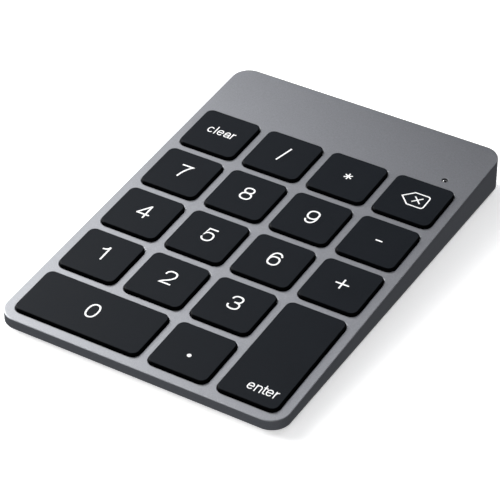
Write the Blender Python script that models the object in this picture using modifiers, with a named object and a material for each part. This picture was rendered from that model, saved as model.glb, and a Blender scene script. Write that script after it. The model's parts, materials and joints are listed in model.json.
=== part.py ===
"""A slim wireless numeric keypad, built as an assembly of separate pieces.

Row frame: +X to the right, +Y to the rear, +Z up, desk at Z = 0, origin at the centre of the footprint.
The deck empty carries the tilted top surface: its XY plane is the deck, and keys travel along its Z axis.
"""

import math

import bmesh
import bpy
from mathutils import Matrix, Vector

MM = 0.001

# Case
CASE_WIDTH = 79.4 * MM
CASE_DEPTH = 115.0 * MM
CASE_CORNER = 5.0 * MM
FOOT_HEIGHT = 0.8 * MM
FRONT_HEIGHT = FOOT_HEIGHT + 3.04 * MM
DECK_TILT = math.radians(3.08)
DECK_THICKNESS = 1.0 * MM
WALL = 1.3 * MM
TOP_CHAMFER = 0.3 * MM
BOTTOM_ROUND = 0.4 * MM
DECK_HEIGHT = FRONT_HEIGHT + math.tan(DECK_TILT) * CASE_DEPTH / 2

# Keys: pitch, window in the deck, cap and travel
COLUMN_PITCH = 19.05 * MM
ROW_PITCH = 18.65 * MM
KEY_ROWS_Y = -9.23 * MM
WINDOW_WIDTH = 16.95 * MM
WINDOW_DEPTH = 16.65 * MM
WINDOW_CORNER = 2.5 * MM
WINDOW_CHAMFER = 0.15 * MM
CAP_WIDTH = 16.35 * MM
CAP_DEPTH = 15.95 * MM
CAP_CORNER = 1.9 * MM
CAP_EDGE = 0.35 * MM
CAP_RISE = 0.83 * MM
CAP_SKIRT = 0.55 * MM
CAP_TOP_THICKNESS = 0.7 * MM
CAP_WALL = 0.9 * MM
TRAVEL = 1.0 * MM

# Key stack under the deck, as heights in the deck frame
REST_GAP = 0.15 * MM
DOME_SHEET_TOP = -(CAP_SKIRT + TRAVEL + REST_GAP)
SHEET_THICKNESS = 0.15 * MM
SHEET_GAP = 0.10 * MM
BACKPLATE_THICKNESS = 0.3 * MM
TAIL_WIDTH = 10.0 * MM
TAIL_THICKNESS = 0.1 * MM
TAIL_ROOT = 0.8 * MM
TAIL_LENGTH = 7.0 * MM
TAIL_HEIGHT = 0.65 * MM
STACK_WIDTH = 75.2 * MM
STACK_FRONT = -54.75 * MM
STACK_REAR = 37.3 * MM
STACK_CORNER = 3.0 * MM
DOME_RADIUS = 2.7 * MM
DOME_SKIN = 0.25 * MM

# Scissor arm, one under each cap, and the hooks that hold it
ARM_WIDTH = 12.0 * MM
ARM_BAR = 1.2 * MM
ARM_THICKNESS = 0.4 * MM
ARM_REACH = 10.2 * MM
ARM_PIVOT_Y = 5.1 * MM
ARM_PIVOT_Z = -1.42 * MM
HOOK_SIZE = Vector((1.2, 0.5)) * MM
HOOK_X = 3.6 * MM
HOOK_Y = 6.25 * MM
HOOK_TOP = -1.2 * MM
SLOT_MARGIN = 0.3 * MM

# Stabiliser bars of the two long keys
BAR_RADIUS = 0.3 * MM
BAR_HALF_LENGTH = 14.5 * MM
BAR_LEG = 5.0 * MM
BAR_FOOT = 1.1 * MM
BAR_BEND = 0.8 * MM
BAR_PIVOT_Z = -1.35 * MM
BAR_OFFSET_0 = 6.4 * MM
BAR_OFFSET_ENTER = 6.7 * MM
BAR_HOOK_SIZE = Vector((0.8, 0.8)) * MM
BAR_HOOK_GAP = 0.2 * MM

# Cover, screws, bosses and stakes
COVER_THICKNESS = 0.5 * MM
COVER_GAP = 0.15 * MM
PAD_TOP = 1.9 * MM
PAD_RADIUS = 2.2 * MM
BOSS_RADIUS = 1.8 * MM
BOSS_GAP = 0.1 * MM
BOSS_INTO_DECK = 0.4 * MM
BOSS_HOLE_RADIUS = 0.65 * MM
BOSS_HOLE_DEPTH = 2.6 * MM
BOSS_CLEARANCE = 0.4 * MM
STAKE_RADIUS = 0.7 * MM
STAKE_LENGTH = 1.6 * MM
SCREW_HEAD_RADIUS = 1.5 * MM
SCREW_SHANK_RADIUS = 0.55 * MM
SCREW_LENGTH = 3.2 * MM
SCREW_HEAD_HEIGHT = 0.9 * MM
SCREW_SETBACK = 0.1 * MM
REAR_SCREW = Vector((35.6, 50.0)) * MM
FOOT_RADIUS = 4.0 * MM
FOOT_SINK = 0.15 * MM
FOOT_RECESS = 0.2 * MM
FOOT_PLACE = Vector((29.0, 49.5)) * MM
TAB_X = 20.0 * MM
TAB_WIDTH = 8.0 * MM
TAB_THICKNESS = 0.9 * MM
TAB_TOP = 2.1 * MM
NOSE_HEIGHT = 0.35 * MM
NOSE_LOW = 1.7 * MM
NOSE_DEPTH = 0.55 * MM
SCREW_CONE_GAP = 0.4 * MM
SCREW_BORE_GAP = 0.2 * MM

# Board, battery and the rear wall's controls
PCB_SIZE = Vector((67.0, 16.2, 0.8)) * MM
PCB_LOW = Vector((0.0, 46.9, 3.2)) * MM
PCB_TOP = PCB_LOW.z + PCB_SIZE.z
PCB_REAR = PCB_LOW.y + PCB_SIZE.y / 2
PCB_POST_RADIUS = 1.5 * MM
PCB_POSTS = [Vector((x, y)) * MM for x in (-28, 28) for y in (42.0, 53.0)]
MOUNT_GAP = 0.1 * MM
CHIP_SINK = 0.2 * MM
CHIPS = [
    (Vector((7.0, 7.0, 1.1)) * MM, Vector((-13.0, 47.0)) * MM),
    (Vector((12.0, 3.0, 0.7)) * MM, Vector((5.0, 44.0)) * MM),
    (Vector((4.0, 3.0, 1.6)) * MM, Vector((-24.0, 42.5)) * MM),
    (Vector((3.2, 2.5, 0.9)) * MM, Vector((-6.5, 50.0)) * MM),
    (Vector((5.0, 4.0, 1.0)) * MM, Vector((15.0, 47.5)) * MM),
]
LED_SIZE = Vector((1.6, 1.6, 0.8)) * MM
BATTERY_SIZE = Vector((54.0, 32.0, 2.6)) * MM
BATTERY_LOW = Vector((0.0, 17.0, 1.5)) * MM
LEAD_RADIUS = 0.45 * MM
LEAD_X = -24.0 * MM
LEAD_LOW = 2.8 * MM
LEAD_HIGH = 4.9 * MM
LEAD_GAP = 0.3 * MM
REAR_FACE = CASE_DEPTH / 2
USB_WIDTH = 8.94 * MM
USB_HEIGHT = 3.26 * MM
USB_LENGTH = 7.3 * MM
USB_SKIN = 0.3 * MM
USB_SETBACK = 0.3 * MM
USB_FLOOR = 1.0 * MM
USB_TONGUE = Vector((6.6, 0.7, 5.5)) * MM
WALL_CLEARANCE = 0.3 * MM
SWITCH_X = 24.0 * MM
SWITCH_SIZE = Vector((8.4, 3.6, 2.8)) * MM
SWITCH_GROOVE = 3.4 * MM
SWITCH_TRAVEL = 2.4 * MM
KNOB_SIZE = Vector((2.6, 3.9, 1.5)) * MM
KNOB_PROUD = 0.6 * MM
BUTTON_X = -24.0 * MM
BUTTON_RADIUS = 1.65 * MM
BUTTON_FLANGE = 2.2 * MM
BUTTON_PROUD = 0.5 * MM
BUTTON_GAP = 0.15 * MM
FLANGE_GAP = 0.2 * MM
FLANGE_THICKNESS = 0.4 * MM
PAIRING_SWITCH_SIZE = Vector((4.5, 3.2, 2.8)) * MM
CONTROL_Z = 5.5 * MM

# Status light
LIGHT_X = 31.45 * MM
LIGHT_Y = 39.87 * MM
LIGHT_HOLE_RADIUS = 0.85 * MM
LIGHT_PIPE_RADIUS = 0.72 * MM
LIGHT_PIPE_LENGTH = 3.8 * MM
LIGHT_PIPE_TIP = 0.15 * MM
LIGHT_COLLAR_RADIUS = 1.3 * MM
LIGHT_COLLAR_THICKNESS = 0.4 * MM

# Every key: name, column, row, width and depth in units, with row 0 at the front
KEYS = [
    ("clear", 0, 4, 1, 1), ("divide", 1, 4, 1, 1), ("multiply", 2, 4, 1, 1), ("backspace", 3, 4, 1, 1),
    ("7", 0, 3, 1, 1), ("8", 1, 3, 1, 1), ("9", 2, 3, 1, 1), ("minus", 3, 3, 1, 1),
    ("4", 0, 2, 1, 1), ("5", 1, 2, 1, 1), ("6", 2, 2, 1, 1), ("plus", 3, 2, 1, 1),
    ("1", 0, 1, 1, 1), ("2", 1, 1, 1, 1), ("3", 2, 1, 1, 1), ("enter", 3, 0.5, 1, 2),
    ("0", 0.5, 0, 2, 1), ("dot", 2, 0, 1, 1),
]  # fmt: skip

# Crossings between four windows, as (column, row) of the key in front and to the left
BOSS_CROSSINGS = [(0, 1), (2, 1)]
STAKE_CROSSINGS = [(1, 0), (1, 1), (0, 2), (2, 2), (0, 3), (2, 3)]


def key_place(column, row):
    """The centre of a key in the deck frame."""
    return Vector(((column - 1.5) * COLUMN_PITCH, KEY_ROWS_Y + (row - 2) * ROW_PITCH, 0))


def crossing_place(column, row):
    """The middle of the deck web where four windows meet."""
    return key_place(column + 0.5, row + 0.5)


def deck_point(point):
    """A point of the deck frame in the row frame."""
    return Matrix.Translation((0, 0, DECK_HEIGHT)) @ Matrix.Rotation(DECK_TILT, 4, "X") @ point


# Scene, collections and materials


def clear_scene():
    for item in list(bpy.data.objects):
        bpy.data.objects.remove(item)


def new_collection(name):
    collection = bpy.data.collections.new(name)
    bpy.context.scene.collection.children.link(collection)
    return collection


def new_material(name, color, roughness, metallic):
    material = bpy.data.materials.new(name)
    material.use_nodes = True
    shader = material.node_tree.nodes["Principled BSDF"]
    shader.inputs["Base Color"].default_value = (*color, 1)
    shader.inputs["Roughness"].default_value = roughness
    shader.inputs["Metallic"].default_value = metallic
    material.diffuse_color = (*color, 1)
    return material


def add_mesh(bm, name):
    mesh = bpy.data.meshes.new(name)
    bmesh.ops.recalc_face_normals(bm, faces=bm.faces)
    bm.to_mesh(mesh)
    bm.free()
    return mesh


def add_part(name, shape, material, parent=None, place=(0, 0, 0), turn=(0, 0, 0)):
    """A visible piece in the keypad's collection, from a bmesh or a mesh that is shared."""
    mesh = shape if isinstance(shape, bpy.types.Mesh) else add_mesh(shape, name)
    if not mesh.materials:
        mesh.materials.append(material)
    part = bpy.data.objects.new(name, mesh)
    part.parent = parent
    part.location = place
    part.rotation_euler = turn
    PARTS.objects.link(part)
    return part


def add_cutter(name, shape, parent=None):
    """A helper solid that a Boolean reads and that isn't part of the object."""
    cutter = bpy.data.objects.new(name, add_mesh(shape, name))
    cutter.parent = parent
    cutter.hide_render = True
    cutter.display_type = "WIRE"
    CUTTERS.objects.link(cutter)
    return cutter


def combine(part, helper, operation):
    modifier = part.modifiers.new(helper.name, "BOOLEAN")
    modifier.solver = "EXACT"
    modifier.operation = operation
    modifier.object = helper


def shade_round(part):
    part.data.shade_smooth()
    part.data.set_sharp_from_angle(angle=math.radians(35))


# Shapes


def block(size, low=(0, 0, 0), corner=0, segments=3):
    """A box on the point low, which is the middle of its underside, with its upright edges rounded."""
    bm = bmesh.new()
    bmesh.ops.create_cube(bm, size=1)
    bmesh.ops.scale(bm, vec=size, verts=bm.verts)
    bmesh.ops.translate(bm, vec=Vector(low) + Vector((0, 0, size[2] / 2)), verts=bm.verts)
    if corner:
        upright = [e for e in bm.edges if abs(e.verts[0].co.z - e.verts[1].co.z) > size[2] / 2]
        bevel(bm, upright, corner, segments)
    return bm


def bevel(bm, edges, width, segments):
    bmesh.ops.bevel(bm, geom=edges, offset=width, segments=segments, profile=0.5, affect="EDGES")


def rim(bm, faces):
    """The outer edges of a group of faces."""
    return [e for e in bm.edges if sum(f in faces for f in e.link_faces) == 1]


def faces_facing(bm, direction, least=0.9):
    return [f for f in bm.faces if f.normal.dot(Vector(direction)) > least]


def cylinder(radius, low, height, segments=12, top_radius=None):
    bm = bmesh.new()
    top = radius if top_radius is None else top_radius
    bmesh.ops.create_cone(
        bm, cap_ends=True, segments=segments, radius1=radius, radius2=top, depth=height
    )
    bmesh.ops.translate(bm, vec=Vector(low) + Vector((0, 0, height / 2)), verts=bm.verts)
    return bm


def group(shapes):
    """Several shapes that don't touch, in one mesh."""
    bm = bmesh.new()
    for shape in shapes:
        mesh = bpy.data.meshes.new("group")
        shape.to_mesh(mesh)
        shape.free()
        bm.from_mesh(mesh)
        bpy.data.meshes.remove(mesh)
    return bm


def turned_part(name, profile, material, segments, parent=None, place=(0, 0, 0), turn=(0, 0, 0)):
    """A round piece about its own Z axis. The profile is (radius, height) points from the top down."""
    bm = bmesh.new()
    points = [bm.verts.new((radius, 0, height)) for radius, height in profile]
    for upper, lower in zip(points, points[1:]):
        bm.edges.new((upper, lower))
    mesh = bpy.data.meshes.new(name)
    bm.to_mesh(mesh)
    bm.free()
    part = add_part(name, mesh, material, parent, place, turn)
    screw = part.modifiers.new("turn", "SCREW")
    screw.steps = segments
    screw.render_steps = segments
    screw.use_merge_vertices = True
    screw.merge_threshold = 0.01 * MM
    return part


def wire_mesh(name, points, radius, material):
    """A round wire along points, as a mesh with its ends closed."""
    curve = bpy.data.curves.new(name, "CURVE")
    curve.dimensions = "3D"
    curve.bevel_depth = radius
    curve.bevel_resolution = 1
    curve.use_fill_caps = True
    spline = curve.splines.new("POLY")
    spline.points.add(len(points) - 1)
    for target, point in zip(spline.points, points):
        target.co = (*point, 1)
    guide = bpy.data.objects.new(name + "_guide", curve)
    bpy.context.scene.collection.objects.link(guide)
    graph = bpy.context.evaluated_depsgraph_get()
    mesh = bpy.data.meshes.new_from_object(guide.evaluated_get(graph))
    bpy.data.objects.remove(guide)
    bm = bmesh.new()
    bm.from_mesh(mesh)
    bmesh.ops.remove_doubles(bm, verts=bm.verts, dist=0.01 * MM)
    bmesh.ops.recalc_face_normals(bm, faces=bm.faces)
    bm.to_mesh(mesh)
    bm.free()
    mesh.materials.clear()
    mesh.materials.append(material)
    return mesh


def rounded_path(corners, radius, steps=3):
    """The corners of a path, each inner one replaced by an arc."""
    path = [corners[0]]
    for before, corner, after in zip(corners, corners[1:], corners[2:]):
        start = corner + (before - corner).normalized() * radius
        end = corner + (after - corner).normalized() * radius
        for step in range(steps + 1):
            t = step / steps
            path.append(start * (1 - t) ** 2 + corner * 2 * t * (1 - t) + end * t**2)
    path.append(corners[-1])
    return path


# Case and cover


def wedge(inset, low, deck_drop, corner):
    """The case's outline, inset, from height low up to a plane parallel to the deck."""
    size = (CASE_WIDTH - 2 * inset, CASE_DEPTH - 2 * inset, 20 * MM)
    bm = block(size, (0, 0, low), corner, segments=5)
    normal = Vector((0, -math.sin(DECK_TILT), math.cos(DECK_TILT)))
    point = Vector((0, 0, DECK_HEIGHT)) - normal * deck_drop
    geometry = bm.verts[:] + bm.edges[:] + bm.faces[:]
    cut = bmesh.ops.bisect_plane(
        bm, geom=geometry, plane_co=point, plane_no=normal, clear_outer=True
    )
    edges = [g for g in cut["geom_cut"] if isinstance(g, bmesh.types.BMEdge)]
    bmesh.ops.contextual_create(bm, geom=edges)
    bmesh.ops.recalc_face_normals(bm, faces=bm.faces)
    return bm


def window_cutter(place, width, depth):
    """A key window's volume, flared at the top so that it leaves a chamfer on the deck."""
    bottom = -DECK_THICKNESS - 0.6 * MM
    flare = 0.5 * MM
    bm = block((width, depth, -WINDOW_CHAMFER - bottom), (0, 0, bottom), WINDOW_CORNER, 4)
    top = faces_facing(bm, (0, 0, 1))
    made = bmesh.ops.extrude_face_region(bm, geom=top)
    bmesh.ops.delete(bm, geom=top, context="FACES_ONLY")
    raised = [g for g in made["geom"] if isinstance(g, bmesh.types.BMVert)]
    bmesh.ops.translate(bm, vec=(0, 0, flare), verts=raised)
    grown = (1 + 2 * flare / width, 1 + 2 * flare / depth, 1)
    bmesh.ops.scale(bm, vec=grown, verts=raised)
    bmesh.ops.translate(bm, vec=place, verts=bm.verts)
    return bm


def screw_places():
    """The four cover screws' places in the row frame, with the height of the deck's underside."""
    places = []
    for crossing in BOSS_CROSSINGS:
        places.append(deck_point(crossing_place(*crossing) + Vector((0, 0, -DECK_THICKNESS))))
    for side in (-1, 1):
        x, y = side * REAR_SCREW.x, REAR_SCREW.y
        under = DECK_HEIGHT + math.tan(DECK_TILT) * y - DECK_THICKNESS
        places.append(Vector((x, y, under)))
    return places


def build_top_case():
    shell = wedge(0, FOOT_HEIGHT, 0, CASE_CORNER)
    bevel(shell, rim(shell, faces_facing(shell, (0, 0, 1))), TOP_CHAMFER, 1)
    bevel(shell, rim(shell, faces_facing(shell, (0, 0, -1))), BOTTOM_ROUND, 2)
    case = add_part("top_case", shell, ALUMINIUM)

    cavity = wedge(WALL, FOOT_HEIGHT - 1 * MM, DECK_THICKNESS, CASE_CORNER - WALL)
    combine(case, add_cutter("case_cavity", cavity), "DIFFERENCE")

    windows = []
    for _name, column, row, wide, deep in KEYS:
        width = WINDOW_WIDTH + (wide - 1) * COLUMN_PITCH
        depth = WINDOW_DEPTH + (deep - 1) * ROW_PITCH
        windows.append(window_cutter(key_place(column, row), width, depth))
    light = Vector((LIGHT_X, LIGHT_Y, -2 * DECK_THICKNESS))
    windows.append(cylinder(LIGHT_HOLE_RADIUS, light, 3 * DECK_THICKNESS, 16))
    combine(case, add_cutter("deck_windows", group(windows), DECK), "DIFFERENCE")

    bosses = []
    holes = []
    for place in screw_places():
        low = Vector((place.x, place.y, PAD_TOP + BOSS_GAP))
        bosses.append(cylinder(BOSS_RADIUS, low, place.z + BOSS_INTO_DECK - low.z, 12))
        start = low - Vector((0, 0, 1 * MM))
        holes.append(cylinder(BOSS_HOLE_RADIUS, start, BOSS_HOLE_DEPTH + 1 * MM, 10))
    combine(case, add_cutter("screw_bosses", group(bosses)), "UNION")

    stakes = []
    for crossing in STAKE_CROSSINGS:
        low = crossing_place(*crossing) + Vector((0, 0, -DECK_THICKNESS - STAKE_LENGTH))
        stakes.append(cylinder(STAKE_RADIUS, low, STAKE_LENGTH + BOSS_INTO_DECK, 8))
    combine(case, add_cutter("stakes", group(stakes), DECK), "UNION")

    wall_middle = REAR_FACE - WALL / 2
    deep = 3 * WALL
    usb = block((USB_WIDTH + 2 * WALL_CLEARANCE, USB_HEIGHT + 2 * WALL_CLEARANCE, deep), (0, 0, 0))
    upright = [e for e in usb.edges if abs(e.verts[0].co.z - e.verts[1].co.z) > deep / 2]
    bevel(usb, upright, USB_HEIGHT / 2, 4)
    turn = Matrix.Rotation(math.radians(-90), 4, "X")
    usb.transform(Matrix.Translation((0, wall_middle - deep / 2, usb_centre_z())) @ turn)
    holes.append(usb)
    slot_width = KNOB_SIZE.x + SWITCH_TRAVEL + 2 * WALL_CLEARANCE
    slot_height = KNOB_SIZE.z + 2 * WALL_CLEARANCE
    low = (SWITCH_X, wall_middle, CONTROL_Z - slot_height / 2)
    holes.append(block((slot_width, deep, slot_height), low))
    button = cylinder(BUTTON_RADIUS + BUTTON_GAP, (0, 0, 0), deep, 16)
    button.transform(Matrix.Translation((BUTTON_X, wall_middle - deep / 2, CONTROL_Z)) @ turn)
    holes.append(button)
    notch = (TAB_WIDTH + 2 * WALL_CLEARANCE, NOSE_DEPTH + 0.45 * MM, NOSE_HEIGHT + 0.45 * MM)
    for side in (-1, 1):
        low = (side * TAB_X, -CASE_DEPTH / 2 + WALL - 0.25 * MM, NOSE_LOW - 0.2 * MM)
        holes.append(block(notch, low))
    combine(case, add_cutter("case_holes", group(holes)), "DIFFERENCE")
    shade_round(case)


def build_bottom_cover():
    inset = WALL + COVER_GAP
    size = (CASE_WIDTH - 2 * inset, CASE_DEPTH - 2 * inset, COVER_THICKNESS)
    plate = block(size, (0, 0, FOOT_HEIGHT), CASE_CORNER - inset, 4)
    cover = add_part("bottom_cover", plate, COVER_PLASTIC)

    root = FOOT_HEIGHT + COVER_THICKNESS / 2
    raised = []
    cones = []
    bores = []
    wide = SCREW_HEAD_RADIUS + SCREW_CONE_GAP
    narrow = SCREW_SHANK_RADIUS + SCREW_BORE_GAP
    height = SCREW_SETBACK + SCREW_HEAD_HEIGHT + SCREW_BORE_GAP
    for place in screw_places():
        low = Vector((place.x, place.y, root))
        raised.append(cylinder(PAD_RADIUS, low, PAD_TOP - root, 12))
        below = Vector((place.x, place.y, FOOT_HEIGHT - SCREW_BORE_GAP))
        cones.append(cylinder(wide, below, height, 16, top_radius=narrow))
        bores.append(cylinder(0.98 * narrow, below, PAD_TOP, 16))
    for post in PCB_POSTS:
        low = Vector((post.x, post.y, root))
        raised.append(cylinder(PCB_POST_RADIUS, low, PCB_LOW.z - MOUNT_GAP - root, 10))
    noses = []
    wall_inside = -CASE_DEPTH / 2 + WALL
    tab = (TAB_WIDTH, TAB_THICKNESS, TAB_TOP - root)
    nose = (0.95 * TAB_WIDTH, 2 * NOSE_DEPTH, NOSE_HEIGHT)
    for side in (-1, 1):
        tab_y = wall_inside + COVER_GAP + TAB_THICKNESS / 2
        raised.append(block(tab, (side * TAB_X, tab_y, root)))
        noses.append(block(nose, (side * TAB_X, wall_inside, NOSE_LOW)))
    combine(cover, add_cutter("cover_raised", group(raised)), "UNION")
    combine(cover, add_cutter("cover_noses", group(noses)), "UNION")
    combine(cover, add_cutter("cover_screw_cones", group(cones)), "DIFFERENCE")
    combine(cover, add_cutter("cover_screw_bores", group(bores)), "DIFFERENCE")

    recesses = []
    for x in (-FOOT_PLACE.x, FOOT_PLACE.x):
        for y in (-FOOT_PLACE.y, FOOT_PLACE.y):
            low = (x, y, FOOT_HEIGHT - 1 * MM)
            radius = FOOT_RADIUS + FOOT_SINK
            recesses.append(cylinder(radius, low, 1 * MM + FOOT_RECESS, 20))
    combine(cover, add_cutter("foot_recesses", group(recesses)), "DIFFERENCE")
    shade_round(cover)


def build_fasteners_and_feet():
    head = FOOT_HEIGHT + SCREW_SETBACK
    profile = [
        (0, SCREW_LENGTH),
        (SCREW_SHANK_RADIUS, SCREW_LENGTH),
        (SCREW_SHANK_RADIUS, SCREW_HEAD_HEIGHT),
        (SCREW_HEAD_RADIUS, 0.1 * MM),
        (SCREW_HEAD_RADIUS, 0),
        (0, 0),
    ]
    names = ("front_left", "front_right", "rear_left", "rear_right")
    for name, place in zip(names, screw_places()):
        spot = (place.x, place.y, head)
        turned_part("cover_screw_" + name, profile, STEEL, 12, place=spot)

    top = FOOT_HEIGHT + FOOT_SINK
    profile = [
        (0, top),
        (FOOT_RADIUS, top),
        (FOOT_RADIUS, 0.25 * MM),
        (FOOT_RADIUS - 0.25 * MM, 0),
        (0, 0),
    ]
    for row, y in (("front", -FOOT_PLACE.y), ("rear", FOOT_PLACE.y)):
        for side, x in (("left", -FOOT_PLACE.x), ("right", FOOT_PLACE.x)):
            turned_part(f"rubber_foot_{row}_{side}", profile, RUBBER, 20, place=(x, y, 0))


# Key stack


def sheet(top, thickness):
    size = (STACK_WIDTH, STACK_REAR - STACK_FRONT, thickness)
    low = (0, (STACK_REAR + STACK_FRONT) / 2, top - thickness)
    return block(size, low, STACK_CORNER, 3)


def bar_hooks(name, column, row):
    """Where a long key's stabiliser bar is held, and True where the bar runs along Y."""
    centre = key_place(column, row)
    along_y = name == "enter"
    places = []
    for side in (-1, 1):
        along = side * (BAR_HALF_LENGTH + BAR_FOOT / 2)
        across = BAR_RADIUS + BAR_HOOK_GAP + BAR_HOOK_SIZE.x / 2
        if along_y:
            pivot = BAR_OFFSET_ENTER - BAR_LEG
            places.append(centre + Vector((pivot - across, along, 0)))
        else:
            pivot = BAR_LEG - BAR_OFFSET_0
            places.append(centre + Vector((along, pivot + across, 0)))
    return places


def hook_shapes(margin, low, top):
    """Every hook of the key stack, or with a margin the slots that they pass through."""
    grow = Vector((2 * margin, 2 * margin, 0))
    shapes = []
    for name, column, row, wide, deep in KEYS:
        centre = key_place(column, row)
        for side in (-1, 1):
            place = centre + Vector((side * HOOK_X, HOOK_Y, low))
            size = Vector((HOOK_SIZE.x, HOOK_SIZE.y, top - low)) + grow
            shapes.append(block(size, place))
        if wide > 1 or deep > 1:
            for place in bar_hooks(name, column, row):
                size = Vector((BAR_HOOK_SIZE.x, BAR_HOOK_SIZE.y, top - low)) + grow
                shapes.append(block(size, place + Vector((0, 0, low))))
    return shapes


def stack_holes(name):
    """Clearance holes for the case's screw bosses and stakes, as one cutter for the whole stack."""
    holes = []
    low = -5 * MM
    for crossing in BOSS_CROSSINGS:
        place = crossing_place(*crossing) + Vector((0, 0, low))
        holes.append(cylinder(BOSS_RADIUS + BOSS_CLEARANCE, place, -low, 12))
    for crossing in STAKE_CROSSINGS:
        place = crossing_place(*crossing) + Vector((0, 0, low))
        holes.append(cylinder(STAKE_RADIUS + BOSS_CLEARANCE, place, -low, 8))
    return add_cutter(name, group(holes), DECK)


def build_key_stack():
    holes = stack_holes("stack_holes")
    slots = hook_shapes(SLOT_MARGIN, -3 * MM, -1 * MM)
    hook_slots = add_cutter("hook_slots", group(slots), DECK)

    dome_sheet = add_part("dome_sheet", sheet(DOME_SHEET_TOP, SHEET_THICKNESS), SILICONE, DECK)
    combine(dome_sheet, holes, "DIFFERENCE")
    combine(dome_sheet, hook_slots, "DIFFERENCE")
    base = DOME_SHEET_TOP - SHEET_THICKNESS / 2
    peak = CAP_RISE - CAP_TOP_THICKNESS - REST_GAP
    outer = []
    inner = []
    for _name, column, row, _wide, _deep in KEYS:
        low = key_place(column, row) + Vector((0, 0, base))
        outer.append(cylinder(DOME_RADIUS, low, peak - base, 8, top_radius=0.45 * DOME_RADIUS))
        under = low - Vector((0, 0, SHEET_THICKNESS))
        height = peak - DOME_SKIN - under.z
        hollow = DOME_RADIUS - DOME_SKIN
        inner.append(cylinder(hollow, under, height, 8, top_radius=0.40 * DOME_RADIUS))
    combine(dome_sheet, add_cutter("domes", group(outer), DECK), "UNION")
    combine(dome_sheet, add_cutter("dome_hollows", group(inner), DECK), "DIFFERENCE")

    membrane_top = DOME_SHEET_TOP - SHEET_THICKNESS - SHEET_GAP
    membrane = add_part("membrane", sheet(membrane_top, SHEET_THICKNESS), FILM, DECK)
    combine(membrane, holes, "DIFFERENCE")
    combine(membrane, hook_slots, "DIFFERENCE")
    combine(membrane, add_cutter("membrane_tail", tail_shape(membrane_top), DECK), "UNION")

    plate_top = membrane_top - SHEET_THICKNESS - SHEET_GAP
    backplate = add_part("key_backplate", sheet(plate_top, BACKPLATE_THICKNESS), STEEL, DECK)
    combine(backplate, holes, "DIFFERENCE")
    root = plate_top - BACKPLATE_THICKNESS / 2
    hooks = add_cutter("backplate_hooks", group(hook_shapes(0, root, HOOK_TOP)), DECK)
    combine(backplate, hooks, "UNION")


def tail_shape(membrane_top):
    """The membrane's tail: a thin strip that bends down to the board's connector."""
    start = Vector((STACK_REAR - TAIL_ROOT, membrane_top - SHEET_THICKNESS / 2))
    board = deck_point(Vector((0, STACK_REAR + TAIL_LENGTH, 0))).z - PCB_TOP - TAIL_HEIGHT
    end = Vector((STACK_REAR + TAIL_LENGTH, -board))
    run = Vector((TAIL_LENGTH, 0))
    corners = [start, start + 0.25 * run, end - 0.45 * run, end]
    path = rounded_path(corners, 0.2 * TAIL_LENGTH)
    bm = bmesh.new()
    left = [bm.verts.new((0, p.x, p.y - TAIL_THICKNESS / 2)) for p in path]
    right = [bm.verts.new((TAIL_WIDTH, p.x, p.y - TAIL_THICKNESS / 2)) for p in path]
    for index in range(len(path) - 1):
        bm.faces.new((left[index], right[index], right[index + 1], left[index + 1]))
    made = bmesh.ops.extrude_face_region(bm, geom=bm.faces[:])
    raised = [g for g in made["geom"] if isinstance(g, bmesh.types.BMVert)]
    bmesh.ops.translate(bm, vec=(0, 0, TAIL_THICKNESS), verts=raised)
    return bm


# Keys and their mechanism


def cap_mesh(name, width, depth):
    """A keycap: a shallow shell, open underneath, with its top edge rounded."""
    bottom = -CAP_SKIRT
    bm = block((width, depth, CAP_RISE - bottom), (0, 0, bottom), CAP_CORNER, 3)
    bevel(bm, rim(bm, faces_facing(bm, (0, 0, 1))), CAP_EDGE, 2)
    under = faces_facing(bm, (0, 0, -1))
    bmesh.ops.inset_region(bm, faces=under, thickness=CAP_WALL, use_even_offset=True)
    made = bmesh.ops.extrude_face_region(bm, geom=under)
    bmesh.ops.delete(bm, geom=under, context="FACES_ONLY")
    raised = [g for g in made["geom"] if isinstance(g, bmesh.types.BMVert)]
    ceiling = CAP_RISE - CAP_TOP_THICKNESS
    bmesh.ops.translate(bm, vec=(0, 0, ceiling - bottom), verts=raised)
    return add_mesh(bm, name)


def arm_mesh():
    """A flat ring that turns about its rear bar, which lies on the X axis."""
    bm = bmesh.new()
    bmesh.ops.create_grid(bm, x_segments=1, y_segments=1, size=0.5)
    size = Vector((ARM_WIDTH, ARM_REACH + ARM_BAR, 1))
    bmesh.ops.scale(bm, vec=size, verts=bm.verts)
    place = Vector((0, -ARM_REACH / 2, -ARM_THICKNESS / 2))
    bmesh.ops.translate(bm, vec=place, verts=bm.verts)
    middle = bm.faces[:]
    bmesh.ops.inset_region(
        bm, faces=middle, thickness=ARM_BAR, use_even_offset=True, use_boundary=True
    )
    bmesh.ops.delete(bm, geom=middle, context="FACES_ONLY")
    made = bmesh.ops.extrude_face_region(bm, geom=bm.faces[:])
    raised = [g for g in made["geom"] if isinstance(g, bmesh.types.BMVert)]
    bmesh.ops.translate(bm, vec=(0, 0, ARM_THICKNESS), verts=raised)
    return add_mesh(bm, "scissor_arm")


def arm_rest_angle():
    """The slope of an arm whose free end lies just under the cap."""
    end = CAP_RISE - CAP_TOP_THICKNESS - REST_GAP - ARM_THICKNESS / 2
    return math.asin((end - ARM_PIVOT_Z) / ARM_REACH)


def bar_rest_angle():
    end = CAP_RISE - CAP_TOP_THICKNESS - REST_GAP - BAR_RADIUS
    return math.asin((end - BAR_PIVOT_Z) / BAR_LEG)


def bar_mesh():
    """A U-shaped wire that turns about the X axis, with its long side at -Y."""
    end = BAR_HALF_LENGTH
    corners = [
        Vector((-end - BAR_FOOT, 0, 0)),
        Vector((-end, 0, 0)),
        Vector((-end, -BAR_LEG, 0)),
        Vector((end, -BAR_LEG, 0)),
        Vector((end, 0, 0)),
        Vector((end + BAR_FOOT, 0, 0)),
    ]
    path = rounded_path(corners, BAR_BEND)
    return wire_mesh("stabiliser_bar", path, BAR_RADIUS, STEEL)


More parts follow.
